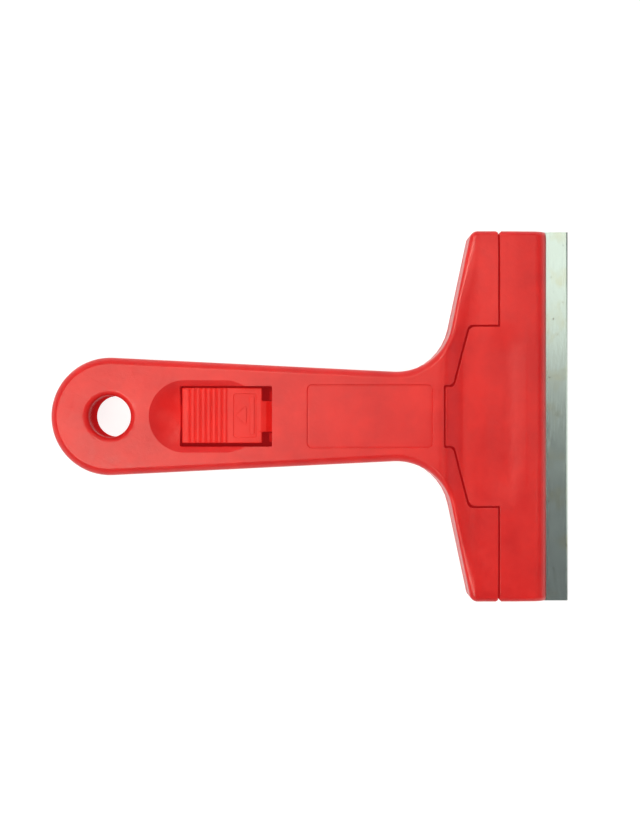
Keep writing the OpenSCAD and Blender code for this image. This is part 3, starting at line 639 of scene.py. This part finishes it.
@dataclass(frozen=True)
class OuterForm:
    """The one form that the shell and the clamp plate are cut from."""

    # Plan of the handle: its ends, round tail, neck and flare
    tail_x: float = -69.0
    nose_x: float = 62.6
    handle_t: float = 14.0
    tail_r: float = 15.5
    neck_w: float = 23.6
    waist_run: float = 75.3
    flare_r: float = 15.0
    # The rounded rim: width, height, the angle at which it ends, and its share of them on the wings
    rim_w: float = 1.85
    rim_h: float = 2.3
    rim_angle: float = 60.0
    head_rim: float = 0.68
    foot_chamfer: float = 0.8
    # Plan of the head: its width, and a point, the angle and the corner of its wings' rear edges
    head_w: float = 98.8
    wing_x: float = 37.0
    wing_ref: float = 26.0
    wing_angle: float = 78.0
    wing_corner_r: float = 2.3
    # Side view: the slope from the handle down to the head, and the nose
    shoulder_x: float = 34.1
    shoulder_r: float = 5.0
    slope_l: float = 7.4
    foot_r: float = 12.0
    head_t: float = 9.6
    # The bend before the nose: its distance from the nose's start, its drop and its radius
    brow: Triple = (4.5, 0.2, 18.0)
    nose_drop: float = 0.5
    nose_t: float = 5.3
    nose_l: float = 4.2
    # Sink marks on the head: their height, spacing along X and first rise, and where they end beside the middle.
    # They fade in before the first rise, fade out before the nose, and fade out over a width beside and at a rim.
    wave: Triple = (0.3, 14.3, 40.5)
    wave_half: float = 21.0
    fade_in: Pair = (5.0, 1.0)
    fade_out: Pair = (6.0, 3.6)
    fade_side: float = 4.0
    fade_rim: float = 3.0
    # The wings' crown: its height, the distance from a rim at which it is reached, and where it ends before the nose
    crown: Pair = (0.35, 8.0)
    crown_out: Pair = (14.0, 4.0)
    rim_steps: int = 14
    top_columns: int = 60

    @property
    def eye_x(self) -> float:
        """Place of the hanging hole's centre."""
        return self.tail_x + self.tail_r

    @property
    def taper(self) -> float:
        """Angle in degrees between the handle's side and its axis.

        Returns:
            90 less the angle of the line from the round end's centre to the waist, less the angle at that
            centre of the right triangle that the tangent makes.
        """
        run, half = self.waist_run, self.neck_w / 2
        return 90 - math.degrees(math.atan2(half, run)) - math.degrees(math.acos(self.tail_r / math.hypot(run, half)))

    def half_plan(self, inset: float) -> Array:
        """Half outline in plan from the tip of the round end to the front, moved inwards by inset.

        Returns:
            Points that keep their number and order at every inset: round end, taper, flare, wing and side.
        """
        eye, a = np.array([self.eye_x, 0.0]), 90 - self.taper
        arc = np.radians(np.linspace(180, a, 41))
        tail = eye + (self.tail_r - inset) * np.column_stack([np.cos(arc), np.sin(arc)])
        wing = heading(self.wing_angle)
        ref = np.array([self.wing_x, self.wing_ref]) + inset * np.array([wing[1], -wing[0]])
        side = np.array([0.0, self.head_w / 2 - inset])
        neck = crossing(tail[-1], heading(-self.taper), ref, wing)
        tip = crossing(ref, wing, side, np.array([1.0, 0.0]))
        front = np.array([self.nose_x, side[1]])
        flare = fillet(tail[-1], neck, tip, self.flare_r + inset, 36)
        corner = fillet(neck, tip, front, max(self.wing_corner_r - inset, 0.2), 12)
        return np.vstack([
            tail, between(tail[-1], flare[0], 30), flare, between(flare[-1], corner[0], 36), corner,
            between(corner[-1], front, 40), front])

    def top_line(self) -> Array:
        """Side view of the top: level, a soft bend, the slope, the head, and a nose that is a quarter ellipse."""
        a = np.linspace(0, math.pi / 2 - 0.02, 24)
        start, level = self.nose_x - self.nose_l, self.head_t - self.nose_drop
        back, drop, bend = self.brow
        nose = np.column_stack([start + self.nose_l * np.sin(a), self.nose_t + (level - self.nose_t) * np.cos(a)])
        line = rounded([
            (self.tail_x - 1, self.handle_t, 0), (self.shoulder_x, self.handle_t, self.shoulder_r),
            (self.shoulder_x + self.slope_l, self.head_t, self.foot_r), (start - back, self.head_t - drop, bend),
            (start, level, 0)], closed=False, steps=16)
        return np.vstack([line[:-1], nose, [self.nose_x + 1, self.nose_t - 1]])

    def relief(self, x: Array, y: Array, edge: Array) -> Array:
        """Height of the sink marks that the ribs behind draw into the head, and of the wings' crown.

        Args:
            x, y: places in plan.
            edge: distance to the nearest rim in millimetres.

        Returns:
            h sin(2 pi (x - x0) / L), faded in from the slope's foot, and out before the nose, near a rim and beside
            the middle. There a crown c (1 - (1 - e / w)^2), with e the edge's distance, takes its place.
        """
        (high, length, first), (swell, width) = self.wave, self.crown
        ends = [*(first - d for d in self.fade_in), *(self.nose_x - d for d in self.fade_out)]
        fade = np.interp(x, ends, [0, 1, 1, 0])
        side = np.interp(np.abs(y) - self.wave_half, [-self.fade_side, self.fade_side], [1, 0])
        near = np.clip(edge / self.fade_rim, 0, 1)
        marks = high * np.sin(2 * np.pi * (x - first) / length) * fade * side * near * near * (3 - 2 * near)
        rise = 1 - (1 - np.clip(edge / width, 0, 1)) ** 2
        return marks + swell * rise * (1 - side) * np.interp(x, [self.nose_x - d for d in self.crown_out], [1, 0])

    def top(self, x: Array) -> Array:
        """Height of the top at each place along the handle, read off the side view."""
        line = self.top_line()
        return np.interp(x, line[:, 0], line[:, 1])

    def rim_share(self, x: Array) -> Array:
        """Share of the rim at each x: 1 on the handle, falling by t^2 (3 - 2 t) from the waist to the wings."""
        waist = self.eye_x + self.waist_run
        t = np.clip((x - waist) / (self.wing_x - waist), 0, 1)
        return 1 + (self.head_rim - 1) * t * t * (3 - 2 * t)

    def ring(self, inward: float, down: float, level: Optional[float] = None) -> Array:
        """One ring of the form.

        Args:
            inward, down: how far it lies inside the outline and below the top, before the rim's share.
            level: a height that takes the place of the top's.
        """
        base, inner = self.half_plan(0), self.half_plan(1)
        share = self.rim_share(base[:, 0])[:, None]
        side = base + (inner - base) * inward * share
        side[-1, 0] = self.nose_x
        z = self.top(side[:, 0]) - down * share[:, 0] if level is None else np.full(len(side), level)
        side = np.column_stack([side, z])
        return np.vstack([side[::-1], side[1:] * [1, -1, 1]])

    def build(self, name: str) -> Piece:
        """The whole form as one closed solid.

        Returns:
            The object. The rim at angle a lies rim_w (1 - cos a) / (1 - cos A) inwards and
            rim_h (1 - sin a / sin A) down, with A the angle at which it ends, so its inner edge stays crisp.
        """
        end = math.radians(self.rim_angle)
        a = np.linspace(0, end, self.rim_steps + 1)
        inward = self.rim_w * (1 - np.cos(a)) / (1 - math.cos(end))
        down = self.rim_h * (1 - np.sin(a) / math.sin(end))
        rings = np.stack(
            [self.ring(self.foot_chamfer, 0, 0.0), self.ring(0, 0, self.foot_chamfer)]
            + [self.ring(i, d) for i, d in zip(inward, down)])
        rows, m = rings.shape[:2]
        n = (m + 1) // 2
        i = np.arange(n - 1)
        foot = np.stack([n - 1 + i, n + i, n - 2 - i, n - 1 - i], -1)[:, ::-1]
        skin, faces = self.skin(rings[-1], rows * m, (rows - 1) * m)
        faces = grid_faces(rows, m, True).tolist() + foot.tolist() + faces
        return solid(name, np.vstack([rings.reshape(-1, 3), skin]), [list(dict.fromkeys(f)) for f in faces])

    def skin(self, ring: Array, first: int, start: int) -> tuple[Array, list]:
        """The top between the rim's inner edges, as a grid of rows across Y.

        Args:
            ring: the rim's inner edge, from the front of the +Y side round the tail to the front of the -Y side.
            first: number of the first new point.
            start: number of the ring's first point.

        Returns:
            The points inside the edges, and the faces, of which the one at the front is a long strip.
        """
        n, cols = (len(ring) + 1) // 2, self.top_columns
        i = np.arange(1, n - 1)
        left, right = ring[n - 1 - i], ring[n - 1 + i]
        t = np.linspace(0, 1, cols + 1)[None, 1:-1, None]
        inside = left[:, None] + (right - left)[:, None] * t
        width = np.abs(left[:, 1] - right[:, 1])[:, None]
        edge = width * np.minimum(t, 1 - t)[..., 0]
        inside[..., 2] += self.relief(inside[..., 0], inside[..., 1], edge)
        number = np.empty((n - 2, cols + 1), int)
        number[:, 0], number[:, -1] = start + n - 1 - i, start + n - 1 + i
        number[:, 1:-1] = first + np.arange((n - 2) * (cols - 1)).reshape(n - 2, -1)
        cells = np.stack([number[:-1, 1:], number[1:, 1:], number[1:, :-1], number[:-1, :-1]], -1).reshape(-1, 4)
        tail = [start + n - 1, *number[0, ::-1].tolist()]
        front = [start + 2 * n - 2, start, *number[-1].tolist()]
        return inside.reshape(-1, 3), cells.tolist() + [tail, front]


@dataclass(frozen=True)
class ClampOutline:
    """Plan of the clamp plate: tongue, slanted shoulders and the full-width front."""

    # The tongue: start, width, length and corner. The plate: half width and corner at its rear, the slant of the
    # edges that lead there, and where its full-width front starts
    tongue_x: float = 34.7
    tongue_w: float = 15.5
    tongue_l: float = 2.5
    tongue_r: float = 2.2
    plate_half: float = 23.8
    plate_r: float = 1.9
    rise: float = 3.7
    front_x: float = 49.55
    # The gap all round the plate, and the depth of the wedges at its two ends
    gap: float = 0.5
    notch: float = 0.8

    def plan(self, grow: float, form: OuterForm) -> Array:
        """The plate's outline, grown by a gap and carried past the front and the sides."""
        x, w, half = self.tongue_x - grow, self.tongue_w / 2 + grow, self.plate_half + grow
        wide = form.head_w / 2 + 1
        back = x + self.tongue_l
        line = rounded([
            (x, 0, 0), (x, w, 0.4), (back, w, self.tongue_r),
            (back + (self.plate_half - self.tongue_w / 2) / self.rise, half, self.plate_r),
            (self.front_x - grow, half, 0.3), (self.front_x - grow, wide, 0), (form.nose_x + 1, wide, 0)],
            closed=False, steps=8)
        return both_sides(line[1:])

    def notches(self, form: OuterForm) -> list[Piece]:
        """The small wedges taken out at both ends of the gap between the wings and the plate."""
        x, y, s = self.front_x - self.gap / 2, form.head_w / 2 - self.notch, self.notch + 1
        wedge = np.array([[x, y], [x + s, y + s], [x - s, y + s]])
        return [prism("notch", wedge * [1, k], -1, 15) for k in (1, -1)]


# ---- sub-assemblies


@dataclass
class HandleShell:
    """The red handle moulding: eyelet, thumb scoop, window, bridge and both wings."""

    form: OuterForm
    clamp: ClampOutline
    finish: Material
    # The hanging hole: radius, size of its lead-in, and the angle in degrees at which that meets the top
    hole_r: float = 5.5
    hole_lead: float = 1.3
    hole_edge: float = 16.0
    # The button's window: its ends and width
    window: Pair = (-35.1, -10.8)
    window_w: float = 15.9
    # The thumb scoop: half width, depth, the ends of its level stretch, and the wall below it
    scoop_half: float = 9.5
    scoop_depth: float = 3.6
    scoop_x: Pair = (-33.55, -23.15)
    scoop_wall: float = 1.7
    # The label recess: its ends, width, corner and depth
    label: Pair = (-1.7, 31.3)
    label_w: float = 16.7
    label_r: float = 1.3
    label_depth: float = 0.28
    # Inside: walls, the ledge and thickness of the back cover's seat, and the window collar's thickness and depth
    wall_t: float = 2.7
    ledge_w: float = 0.9
    skin_t: float = 2.2
    cover_t: float = 2.0
    cover_x: float = -46.0
    cover_head_x: float = 26.0
    collar: Pair = (1.3, 3.2)

    @property
    def under_scoop(self) -> float:
        """Height of the underside of the wall below the scoop."""
        return self.form.handle_t - self.scoop_depth - self.scoop_wall

    def hanging_hole(self) -> Piece:
        """The bore with a round lead-in at both mouths, as a turned profile.

        Returns:
            The tool. The upper lead-in is the arc r = hole_r + R (1 - sin t), z = top - R (cos A - cos t) for t from
            90 degrees to A, with R = lead / (1 - sin A), so its outer edge stays crisp. The lower one ends at A = 0.
        """
        a, lead, t = math.radians(self.hole_edge), self.hole_lead, self.form.handle_t
        big = lead / (1 - math.sin(a))
        up, down = np.linspace(math.pi / 2, a, 15), np.linspace(0, math.pi / 2, 9)
        high = np.column_stack([self.hole_r + big * (1 - np.sin(up)), t - big * (math.cos(a) - np.cos(up))])
        low = np.column_stack([self.hole_r + lead * (1 - np.sin(down)), lead * (1 - np.cos(down))])
        ends = np.array([[0, -1], [self.hole_r + lead, -1]]), np.array([[self.hole_r + lead, t + 1], [0, t + 1]])
        return revolved("hole", np.vstack([ends[0], low, high, ends[1]]), (self.form.eye_x, 0, 0), 2, 128)

    def scoop(self) -> Piece:
        """The thumb scoop: a capsule along X, whose radius comes from the scoop's width and depth.

        Returns:
            The capsule. Its radius is (w^2 + d^2) / 2 d for half width w and depth d.
        """
        r = (self.scoop_half**2 + self.scoop_depth**2) / (2 * self.scoop_depth)
        a = np.linspace(-math.pi / 2, 0, 49)
        rear = np.column_stack([r * np.cos(a), self.scoop_x[0] + r * np.sin(a)])
        front = np.column_stack([r * np.cos(a[::-1]), self.scoop_x[1] - r * np.sin(a[::-1])])
        floor = self.form.handle_t - self.scoop_depth
        return revolved("scoop", np.vstack([rear, front]), (0, 0, floor + r), 0, 160)

    def label_recess(self) -> Piece:
        """The bare label recess: a steep step all round, a fine groove at its foot, and a level floor."""
        top, d = self.form.handle_t, self.label_depth
        # Inset and share of the depth, from the floor up and on past the top
        levels = [(0.75, 0.7), (0.3, 1.0), (0.16, 1.0), (0.0, 0.0), (0.0, -4.0)]
        rings = []
        for i, share in levels:
            line = rounded_box(self.label[0] + i, self.label[1] - i, self.label_w - 2 * i, self.label_r - i * 0.8)
            rings.append(np.column_stack([line, np.full(len(line), top - d * share)]))
        return loft("label", np.stack(rings))

    def hollow(self) -> list[Piece]:
        """The inside: the handle's channel under the skin, and the seats of the back cover."""
        form, top = self.form, self.form.handle_t
        x0, x1 = self.cover_x + self.ledge_w, self.clamp.tongue_x - 3
        inner = both_sides(form.half_plan(self.wall_t)[::-1])
        channel = prism("channel", inner, -1, top - self.skin_t)
        bounds = prism("bounds", box_outline(x0, x1, -WIDE, WIDE), -2, top)
        carve(channel, Cut.KEEP, bounds)
        w, t = self.window_w / 2, self.collar[0]
        low = top - self.skin_t - self.collar[1]
        floor = box_outline(x0 - 1, self.window[0], -WIDE, WIDE)
        walls = [
            prism("wall", box_outline(self.window[0] - 1, self.window[1], k * w, k * (w + t)), low, top + 1)
            for k in (1, -1)]
        carve(channel, Cut.TAKE, prism("floor", floor, self.under_scoop, top + 1), *walls)
        stem = prism("stem", both_sides(form.half_plan(self.wall_t - self.ledge_w)[::-1]), -1, self.cover_t)
        limit = box_outline(self.cover_x, self.cover_head_x, -WIDE, WIDE)
        carve(stem, Cut.KEEP, prism("limit", limit, -2, top))
        head = box_outline(self.cover_head_x - 0.5, 2 * WIDE, -1.5 * WIDE, 1.5 * WIDE)
        return [channel, stem, prism("head", head, -1, self.cover_t)]

    def build(self) -> Piece:
        """Cuts the shell out of the outer form and dresses it."""
        ob = self.form.build("handle_moulding")
        top = self.form.handle_t
        opening = prism("opening", self.clamp.plan(self.clamp.gap, self.form), -1, top + 1)
        window = prism("window", rounded_box(*self.window, self.window_w, 0.45), self.under_scoop - 1, top + 1)
        carve(ob, Cut.TAKE, opening, *self.clamp.notches(self.form), *self.hollow(), self.hanging_hole(),
              window, self.scoop(), self.label_recess())
        finish_faces(ob)
        dress(ob, self.finish, Body.HANDLE, Slot.SHELL, "handle_shell")
        return ob


@dataclass
class ClampJaw:
    """The clamp plate with its lever arm, hub and spring cup."""

    form: OuterForm
    clamp: ClampOutline
    finish: Material
    # The plate: lowest height, thickness, side wall and lip
    plate_z: float = 2.55
    plate_t: float = 2.0
    rib_t: float = 1.6
    lip_d: float = 4.0
    # The pivot's place, the hub and its bore, and the lever arm with its dip under the button's hinge
    pivot: Pair = (30.7, 6.55)
    hub_r: float = 3.2
    hub_w: float = 13.2
    bore_r: float = 1.3
    arm_w: float = 7.6
    arm_t: float = 2.8
    hinge_x: float = -9.6
    dip_z: float = 7.25
    knuckle_r: float = 1.9
    # The spring's place, its cup, and the heights of the tail's underside, the cup's ceiling and the tail's top
    spring_x: float = -28.1
    cup_r: float = 4.3
    cup_bore_r: float = 3.35
    tail: Triple = (5.4, 7.8, 8.9)

    def plate(self) -> Piece:
        """The plate, hollow below behind its lip."""
        form, clamp = self.form, self.clamp
        ob = form.build("clamp_plate")
        carve(ob, Cut.KEEP, prism("plan", clamp.plan(0, form), self.plate_z, 20))
        x, y = form.nose_x - self.lip_d, form.head_w / 2 - self.rib_t
        pocket = prism("pocket", clamp.plan(-self.rib_t, form), -1, form.head_t - self.plate_t - 0.6)
        carve(pocket, Cut.KEEP, prism("inside", box_outline(0, x, -y, y), -2, 20))
        return carve(ob, Cut.TAKE, pocket, *clamp.notches(form))

    def arm(self) -> Piece:
        """The lever arm from the hub to the spring cup under the button."""
        (px, pz), (low, web, high) = self.pivot, self.tail
        r, k, c = self.hub_r, self.knuckle_r, self.cup_r
        hx, sx, dip = self.hinge_x, self.spring_x, self.dip_z
        # The tail over the spring, the dip under the button's hinge, the hub, and back along the top
        profile = rounded([
            (sx - c, low, 0), (sx + c, low, 0.5), (hx - 2 * k, dip - self.arm_t, 3), (hx + 2 * k, dip - self.arm_t, 3),
            (px, pz - r + 0.5, 0), (px, pz + r - 0.5, 0), (px - 4 * r, pz + self.arm_t / 2, 6), (hx + 2 * k, dip, 3),
            (hx - 3 * k, dip, 3), (sx + c + 1, high, 2), (sx - c, high, 0)], steps=6)
        ob = slab("lever", profile, self.arm_w, edge=0.4)
        bridge = slab("bridge", box_outline(px, self.clamp.tongue_x + self.rib_t, pz - r / 2, pz + r * 0.9), self.hub_w)
        cup = rod("cup", c, high - low, (sx, 0, (high + low) / 2), 2)
        hub = rod("hub", r, self.hub_w, (px, 0, pz), 1)
        carve(ob, Cut.ADD, hub, bridge, cup)
        bore = rod("bore", self.bore_r, self.hub_w + 2, (px, 0, pz), 1)
        seat = rod("seat", self.cup_bore_r, 2 * (web - low), (sx, 0, low), 2)
        return carve(ob, Cut.TAKE, bore, seat)

    def build(self) -> Piece:
        """Joins plate and arm and dresses them."""
        ob = carve(self.plate(), Cut.ADD, self.arm())
        ob.name = "clamp_moulding"
        finish_faces(ob)
        dress(ob, self.finish, Body.JAW, Slot.JAW, "clamp_jaw")
        return ob


@dataclass
class PressButton:
    """The ribbed rocker button with its panel, neck, knuckle, trunnions, nose and hook."""

    finish: Material
    # The plate: its ends, width, place across, top and thickness
    x: Pair = (-34.46, -13.46)
    width: float = 14.5
    shift: float = 0.25
    top_z: float = 13.2
    thickness: float = 2.2
    # The ribs: their number, margin, spacing and depth, and the length and drop of the slope to the flat end
    ribs: int = 8
    rib_margin: float = 0.68
    rib_pitch: float = 1.4
    rib_depth: float = 0.3
    slope: float = 1.5
    flat_drop: float = 0.12
    # The sunk panel's start, length and width, its depth, and its mark's inset, bar width and point length
    panel: Triple = (-20.99, 6.2, 11.6)
    panel_d: float = 0.15
    mark: Triple = (0.7, 1.1, 2.7)
    # The hinge's place, the knuckle and trunnions round it, and the neck that leads there from the plate's crest
    hinge: Pair = (-9.6, 9.75)
    knuckle_r: float = 1.9
    knuckle_w: float = 8.1
    trunnion_r: float = 1.3
    trunnion_l: float = 2.6
    neck_in: float = 3.0
    crest_l: float = 1.2
    # The nose that presses on the jaw's tail: radius, width, place and lowest height
    nose_r: float = 1.2
    nose_w: float = 7.0
    spring_x: float = -28.1
    tail_z: float = 8.95
    # The hook's rear end, underside, thickness and width
    hook: tuple[float, float, float, float] = (-36.05, 7.4, 1.1, 6.0)

    @property
    def flat_z(self) -> float:
        """Height of the flat end."""
        return self.top_z - self.flat_drop

    def plate_profile(self) -> Array:
        """Side view of the plate: grip ribs, the slope and the flat end.

        Returns:
            The outline. Over the ribs the height is the top less rib_depth (1 - |sin(pi u)|)^1.3, with u counted in
            rib spacings from a groove. The last groove rises in a gentle slope to the flat end.
        """
        x0, x1 = self.x
        low = self.top_z - self.thickness
        zero = x0 + self.rib_margin
        u = np.linspace(0.5, self.ribs, 24 * self.ribs + 1)
        z = self.top_z - self.rib_depth * (1 - np.abs(np.sin(np.pi * u))) ** 1.3
        over = np.column_stack([zero + self.rib_pitch * u, z])
        rear = rounded([(x0, low, 0), (x0, self.top_z, 0.45), tuple(over[0]) + (0,)], closed=False)
        foot = over[-1, 0] + self.slope
        front = rounded([
            tuple(over[-1]) + (0,), (foot, self.flat_z, 0.5), (x1, self.flat_z, 0.25), (x1, low, 0)], closed=False)
        return np.vstack([rear[:-1], over, front[1:]])

    def press_panel(self) -> Piece:
        """The panel sunk into the flat end, less a plain press mark: a bar and a point towards the ribs."""
        (x, length, wide), (inset, bar, point) = self.panel, self.mark
        low, end = self.flat_z - self.panel_d, x + length - inset
        sunk = prism("panel", rounded_box(x, x + length, wide, 0.8), low, self.top_z + 1)
        tip = x + inset
        corners = [(tip, 0, 0.3), (tip + point, -point, 0.3), (tip + point, point, 0.3)]
        marks = [
            prism("point", rounded(corners), low - 1, self.flat_z),
            prism("bar", rounded_box(end - bar, end, wide * 0.85, bar / 3), low - 1, self.flat_z)]
        shift_all([sunk, *marks], self.shift)
        return carve(sunk, Cut.TAKE, *marks)

    def build(self) -> Piece:
        """Joins the plate and what hangs below it, and dresses them."""
        (x0, x1), (hx, hz), low = self.x, self.hinge, self.top_z - self.thickness
        ob = slab("button_moulding", self.plate_profile(), self.width, self.shift, edge=0.3)
        carve(ob, Cut.TAKE, self.press_panel())
        # From under the plate to the knuckle, round its front, and back over the crest to the flat end
        neck = rounded([
            (x1 - self.neck_in, low - 0.6, 0.5), (hx - 0.6, hz - self.knuckle_r + 0.1, 0),
            (hx + 0.9, hz + self.knuckle_r * 0.85, 0), (hx - 1.0, hz + self.knuckle_r * 0.8, 0.3),
            (x1 + 1.1, self.top_z - 0.45, 0.8), (x1 - 0.3, self.top_z + 0.05, 0.3),
            (x1 - self.crest_l + 0.6, self.top_z + 0.05, 0.2), (x1 - self.crest_l, self.flat_z - 0.03, 0),
            (x1 - self.neck_in, low + 0.2, 0)])
        nose = self.tail_z + self.nose_r
        sx, r = self.spring_x, self.nose_r
        hook_x, hook_z, hook_t, hook_w = self.hook
        under = [
            slab("neck", neck, self.knuckle_w, edge=0.25),
            rod("knuckle", self.knuckle_r, self.knuckle_w, (hx, 0, hz), 1),
            rod("trunnion", self.trunnion_r, self.knuckle_w + 2 * self.trunnion_l, (hx, 0, hz), 1),
            rod("nose", r, self.nose_w, (sx, 0, nose), 1),
            slab("nose rib", box_outline(sx - r, sx + r, nose, low + 0.3), self.nose_w),
            slab("hook stem", box_outline(x0, x0 + hook_t, hook_z, low + 0.3), hook_w),
            slab("hook foot", box_outline(hook_x, x0 + hook_t, hook_z, hook_z + hook_t), hook_w)]
        carve(ob, Cut.ADD, *under)
        finish_faces(ob)
        dress(ob, self.finish, Body.BUTTON, Slot.BUTTON, "press_button")
        return ob


@dataclass
class ReturnSpring:
    """The compression spring under the jaw's tail, one round wire along a helix."""

    finish: Material
    x: float = -28.1
    low: float = 2.05
    high: float = 7.75
    outer_r: float = 3.0
    wire_r: float = 0.3
    turns: int = 4
    # Share of its length that is left where the jaw is fully open
    keep: float = 0.53

    def build(self) -> Piece:
        """Sweeps a circle along the helix and dresses it.

        Returns:
            The object. The wire's centre lies at radius R = outer_r - wire_r and climbs evenly, and each ring
            stands square to the helix: its plane holds the outward radius and the upward normal.
        """
        steps, sides = 72 * self.turns, 20
        t = np.linspace(0, self.turns, steps + 1)
        a, r = 2 * np.pi * t, self.outer_r - self.wire_r
        pitch = (self.high - self.low - 2 * self.wire_r) / self.turns
        centre = np.column_stack([self.x + r * np.cos(a), r * np.sin(a), self.low + self.wire_r + pitch * t])
        lean = math.atan2(pitch, 2 * np.pi * r)
        out = np.column_stack([np.cos(a), np.sin(a), np.zeros_like(a)])
        level = math.cos(lean)
        along = np.column_stack([-np.sin(a) * level, np.cos(a) * level, np.full_like(a, math.sin(lean))])
        up = np.cross(out, along)
        b = np.linspace(0, 2 * np.pi, sides, endpoint=False)[None, :, None]
        rings = centre[:, None] + self.wire_r * (np.cos(b) * out[:, None] - np.sin(b) * up[:, None])
        ob = loft("return_spring_coil", rings)
        finish_faces(ob, 50)
        dress(ob, self.finish, Body.HANDLE, Slot.SPRING, "return_spring")
        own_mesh(ob)
        return ob


# ---- floor, light and camera


@dataclass(frozen=True)
class Lamp:
    """A soft box: a lit rectangle of slightly warm light that faces a point."""

    name: str
    place: Triple
    size: Pair
    watts: float
    colour: str = "FFFCEA"
    target: Triple = (0.0, 0.0, 0.0)

    def build(self) -> None:
        """Adds the lamp and turns it to its target."""
        data = bpy.data.lights.new(self.name, "AREA")
        data.shape, (data.size, data.size_y) = "RECTANGLE", self.size
        data.energy, data.color = self.watts, linear(self.colour)[:3]
        ob = bpy.data.objects.new(self.name, data)
        bpy.context.scene.collection.objects.link(ob)
        ob.location = self.place
        way = Vector(self.target) - Vector(self.place)
        ob.rotation_euler = way.to_track_quat("-Z", "Y").to_euler()


@dataclass(frozen=True)
class Studio:
    """Pale floor, plain soft light and the camera straight above."""

    # The camera's place in metres, its lens, sensor and nearest distance
    eye: Triple = (0.00175, 0.00077, 0.314)
    lens: float = 49.93
    sensor: float = 36.0
    nearest: float = 0.01
    floor_size: float = 3000.0
    floor_z: float = -0.2
    sky: str = "FFFFFF"
    # The sky's strength overhead, and the heights on the unit sphere up to which it is white and from which it is dim
    sky_strength: float = 0.16
    sky_white: float = 0.1
    sky_dim: float = 0.45
    # The paper as it lights the scraper, and as cameras and mirrors see it: a grey and a glow that add up to white
    paper: str = "E6E6E6"
    paper_seen: str = "8C8C8C"
    paper_glow: float = 0.86
    lamps: tuple[Lamp, ...] = (
        Lamp("left rear box", (-0.266, -0.153, 0.629), (0.3, 0.3), 1.78),
        Lamp("high left box", (-0.097, 0.0, 0.693), (0.3, 0.3), 0.47),
        Lamp("near top lamp", (-0.05, 0.15, 0.25), (0.12, 0.12), 0.34),
        Lamp("wing lamp", (0.03, 0.1, 0.66), (0.08, 0.08), 0.08),
        Lamp("near low lamp", (-0.06, -0.16, 0.22), (0.12, 0.12), 0.12),
        Lamp("near right lamp", (0.05, 0.2, 0.2), (0.12, 0.12), 0.08),
        Lamp("top box", (0.0, 0.193, 0.673), (0.3, 0.3), 0.05),
        Lamp("front box", (0.43, 0.0, 0.55), (0.2, 0.3), 0.24),
        Lamp("blade box", (0.24, 0.166, 0.7), (0.24, 0.228), 0.29, target=(0.24, 0.166, 0.0)),
    )

    def floor(self) -> None:
        """The pale floor, which the camera sees as white but for the object's soft shadow."""
        h = self.floor_size / 2
        corners = box_outline(-h, h, -h, h)
        ob = solid("floor", np.column_stack([corners, np.full(len(corners), self.floor_z)]), [range(len(corners))])
        mat, tree = blank("white sweep paper")
        rays = add(tree, "LightPath")
        seen = add(tree, "Math", {"0": (rays, "Is Camera Ray"), "1": (rays, "Is Glossy Ray")}, operation="MAXIMUM")
        shown = add(tree, "Math", {"0": (seen, "Value"), "1": (rays, "Is Transmission Ray")}, operation="MAXIMUM")
        paper = add(tree, "BsdfDiffuse", Color=linear(self.paper))
        grey = add(tree, "BsdfDiffuse", Color=linear(self.paper_seen))
        glow = add(tree, "Emission", Color=linear("FFFFFF"), Strength=self.paper_glow)
        both = add(tree, "AddShader", {"0": (grey, "BSDF"), "1": (glow, "Emission")})
        mix = add(tree, "MixShader", {"0": (shown, "Value"), "1": (paper, "BSDF"), "2": (both, "Shader")})
        add(tree, "OutputMaterial", {"Surface": (mix, "Shader")})
        ob.data.materials.append(mat)

    def sky_world(self) -> bpy.types.World:
        """The room: white walls round the horizon, dim overhead.

        Returns:
            A world whose strength falls from 1 to its strength overhead between two heights on the unit sphere.
        """
        world = bpy.data.worlds.new("white walls and dim ceiling")
        world.use_nodes = True
        tree = world.node_tree
        tree.nodes.clear()
        way = add(tree, "SeparateXYZ", {"Vector": (add(tree, "TexCoord"), "Object")})
        light = add(tree, "MapRange", {"Value": (way, "Z")}, From_Min=self.sky_white, From_Max=self.sky_dim,
                    To_Min=1.0, To_Max=self.sky_strength)
        back = add(tree, "Background", {"Strength": (light, "Result")}, Color=linear(self.sky))
        add(tree, "OutputWorld", {"Surface": (back, "Background")})
        return world

    def build(self) -> None:
        """Adds the floor, the sky, the lamps and the camera."""
        scene = bpy.context.scene
        scene.view_settings.view_transform = "Standard"
        self.floor()
        scene.world = self.sky_world()
        for lamp in self.lamps:
            lamp.build()
        data = bpy.data.cameras.new("camera")
        data.lens, data.sensor_width, data.clip_start = self.lens, self.sensor, self.nearest
        ob = bpy.data.objects.new("camera", data)
        ob.location = self.eye
        scene.collection.objects.link(ob)
        scene.camera = ob


@dataclass
class Scraper:
    """The whole scraper: its sub-assemblies in the order they are made."""

    form: OuterForm = field(default_factory=OuterForm)
    clamp: ClampOutline = field(default_factory=ClampOutline)

    def build(self) -> None:
        """Builds every piece and dresses the CAD nodes that stay."""
        red = MouldedPlastic().make()
        button_red = MouldedPlastic(name="red moulded button plastic", pigment="DC2421", deep="D0201E",
                                    roughness=0.46, ior=1.4).make()
        HandleShell(self.form, self.clamp, red).build()
        ClampJaw(self.form, self.clamp, red).build()
        PressButton(button_red).build()
        ReturnSpring(SmallSteel("drawn spring wire", "B9BAB8", "8F908E", 0.3).make()).build()
        paint_node("back_cover", red)
        paint_node("blade", BladeSteel().make())
        paint_node("jaw_pivot_pin", SmallSteel("drawn pin steel", "C2C3C4", "A7A8A9", 0.28).make())
        paint_node("cover_screws", SmallSteel("zinc-plated screw steel", "C6C8C8", "A3A6A4", 0.34).make())


def main() -> None:
    """Builds the studio and the scraper."""
    logging.basicConfig(level=logging.INFO, format="%(name)s: %(message)s")
    Studio().build()
    Scraper().build()


if __name__ == "__main__":
    main()
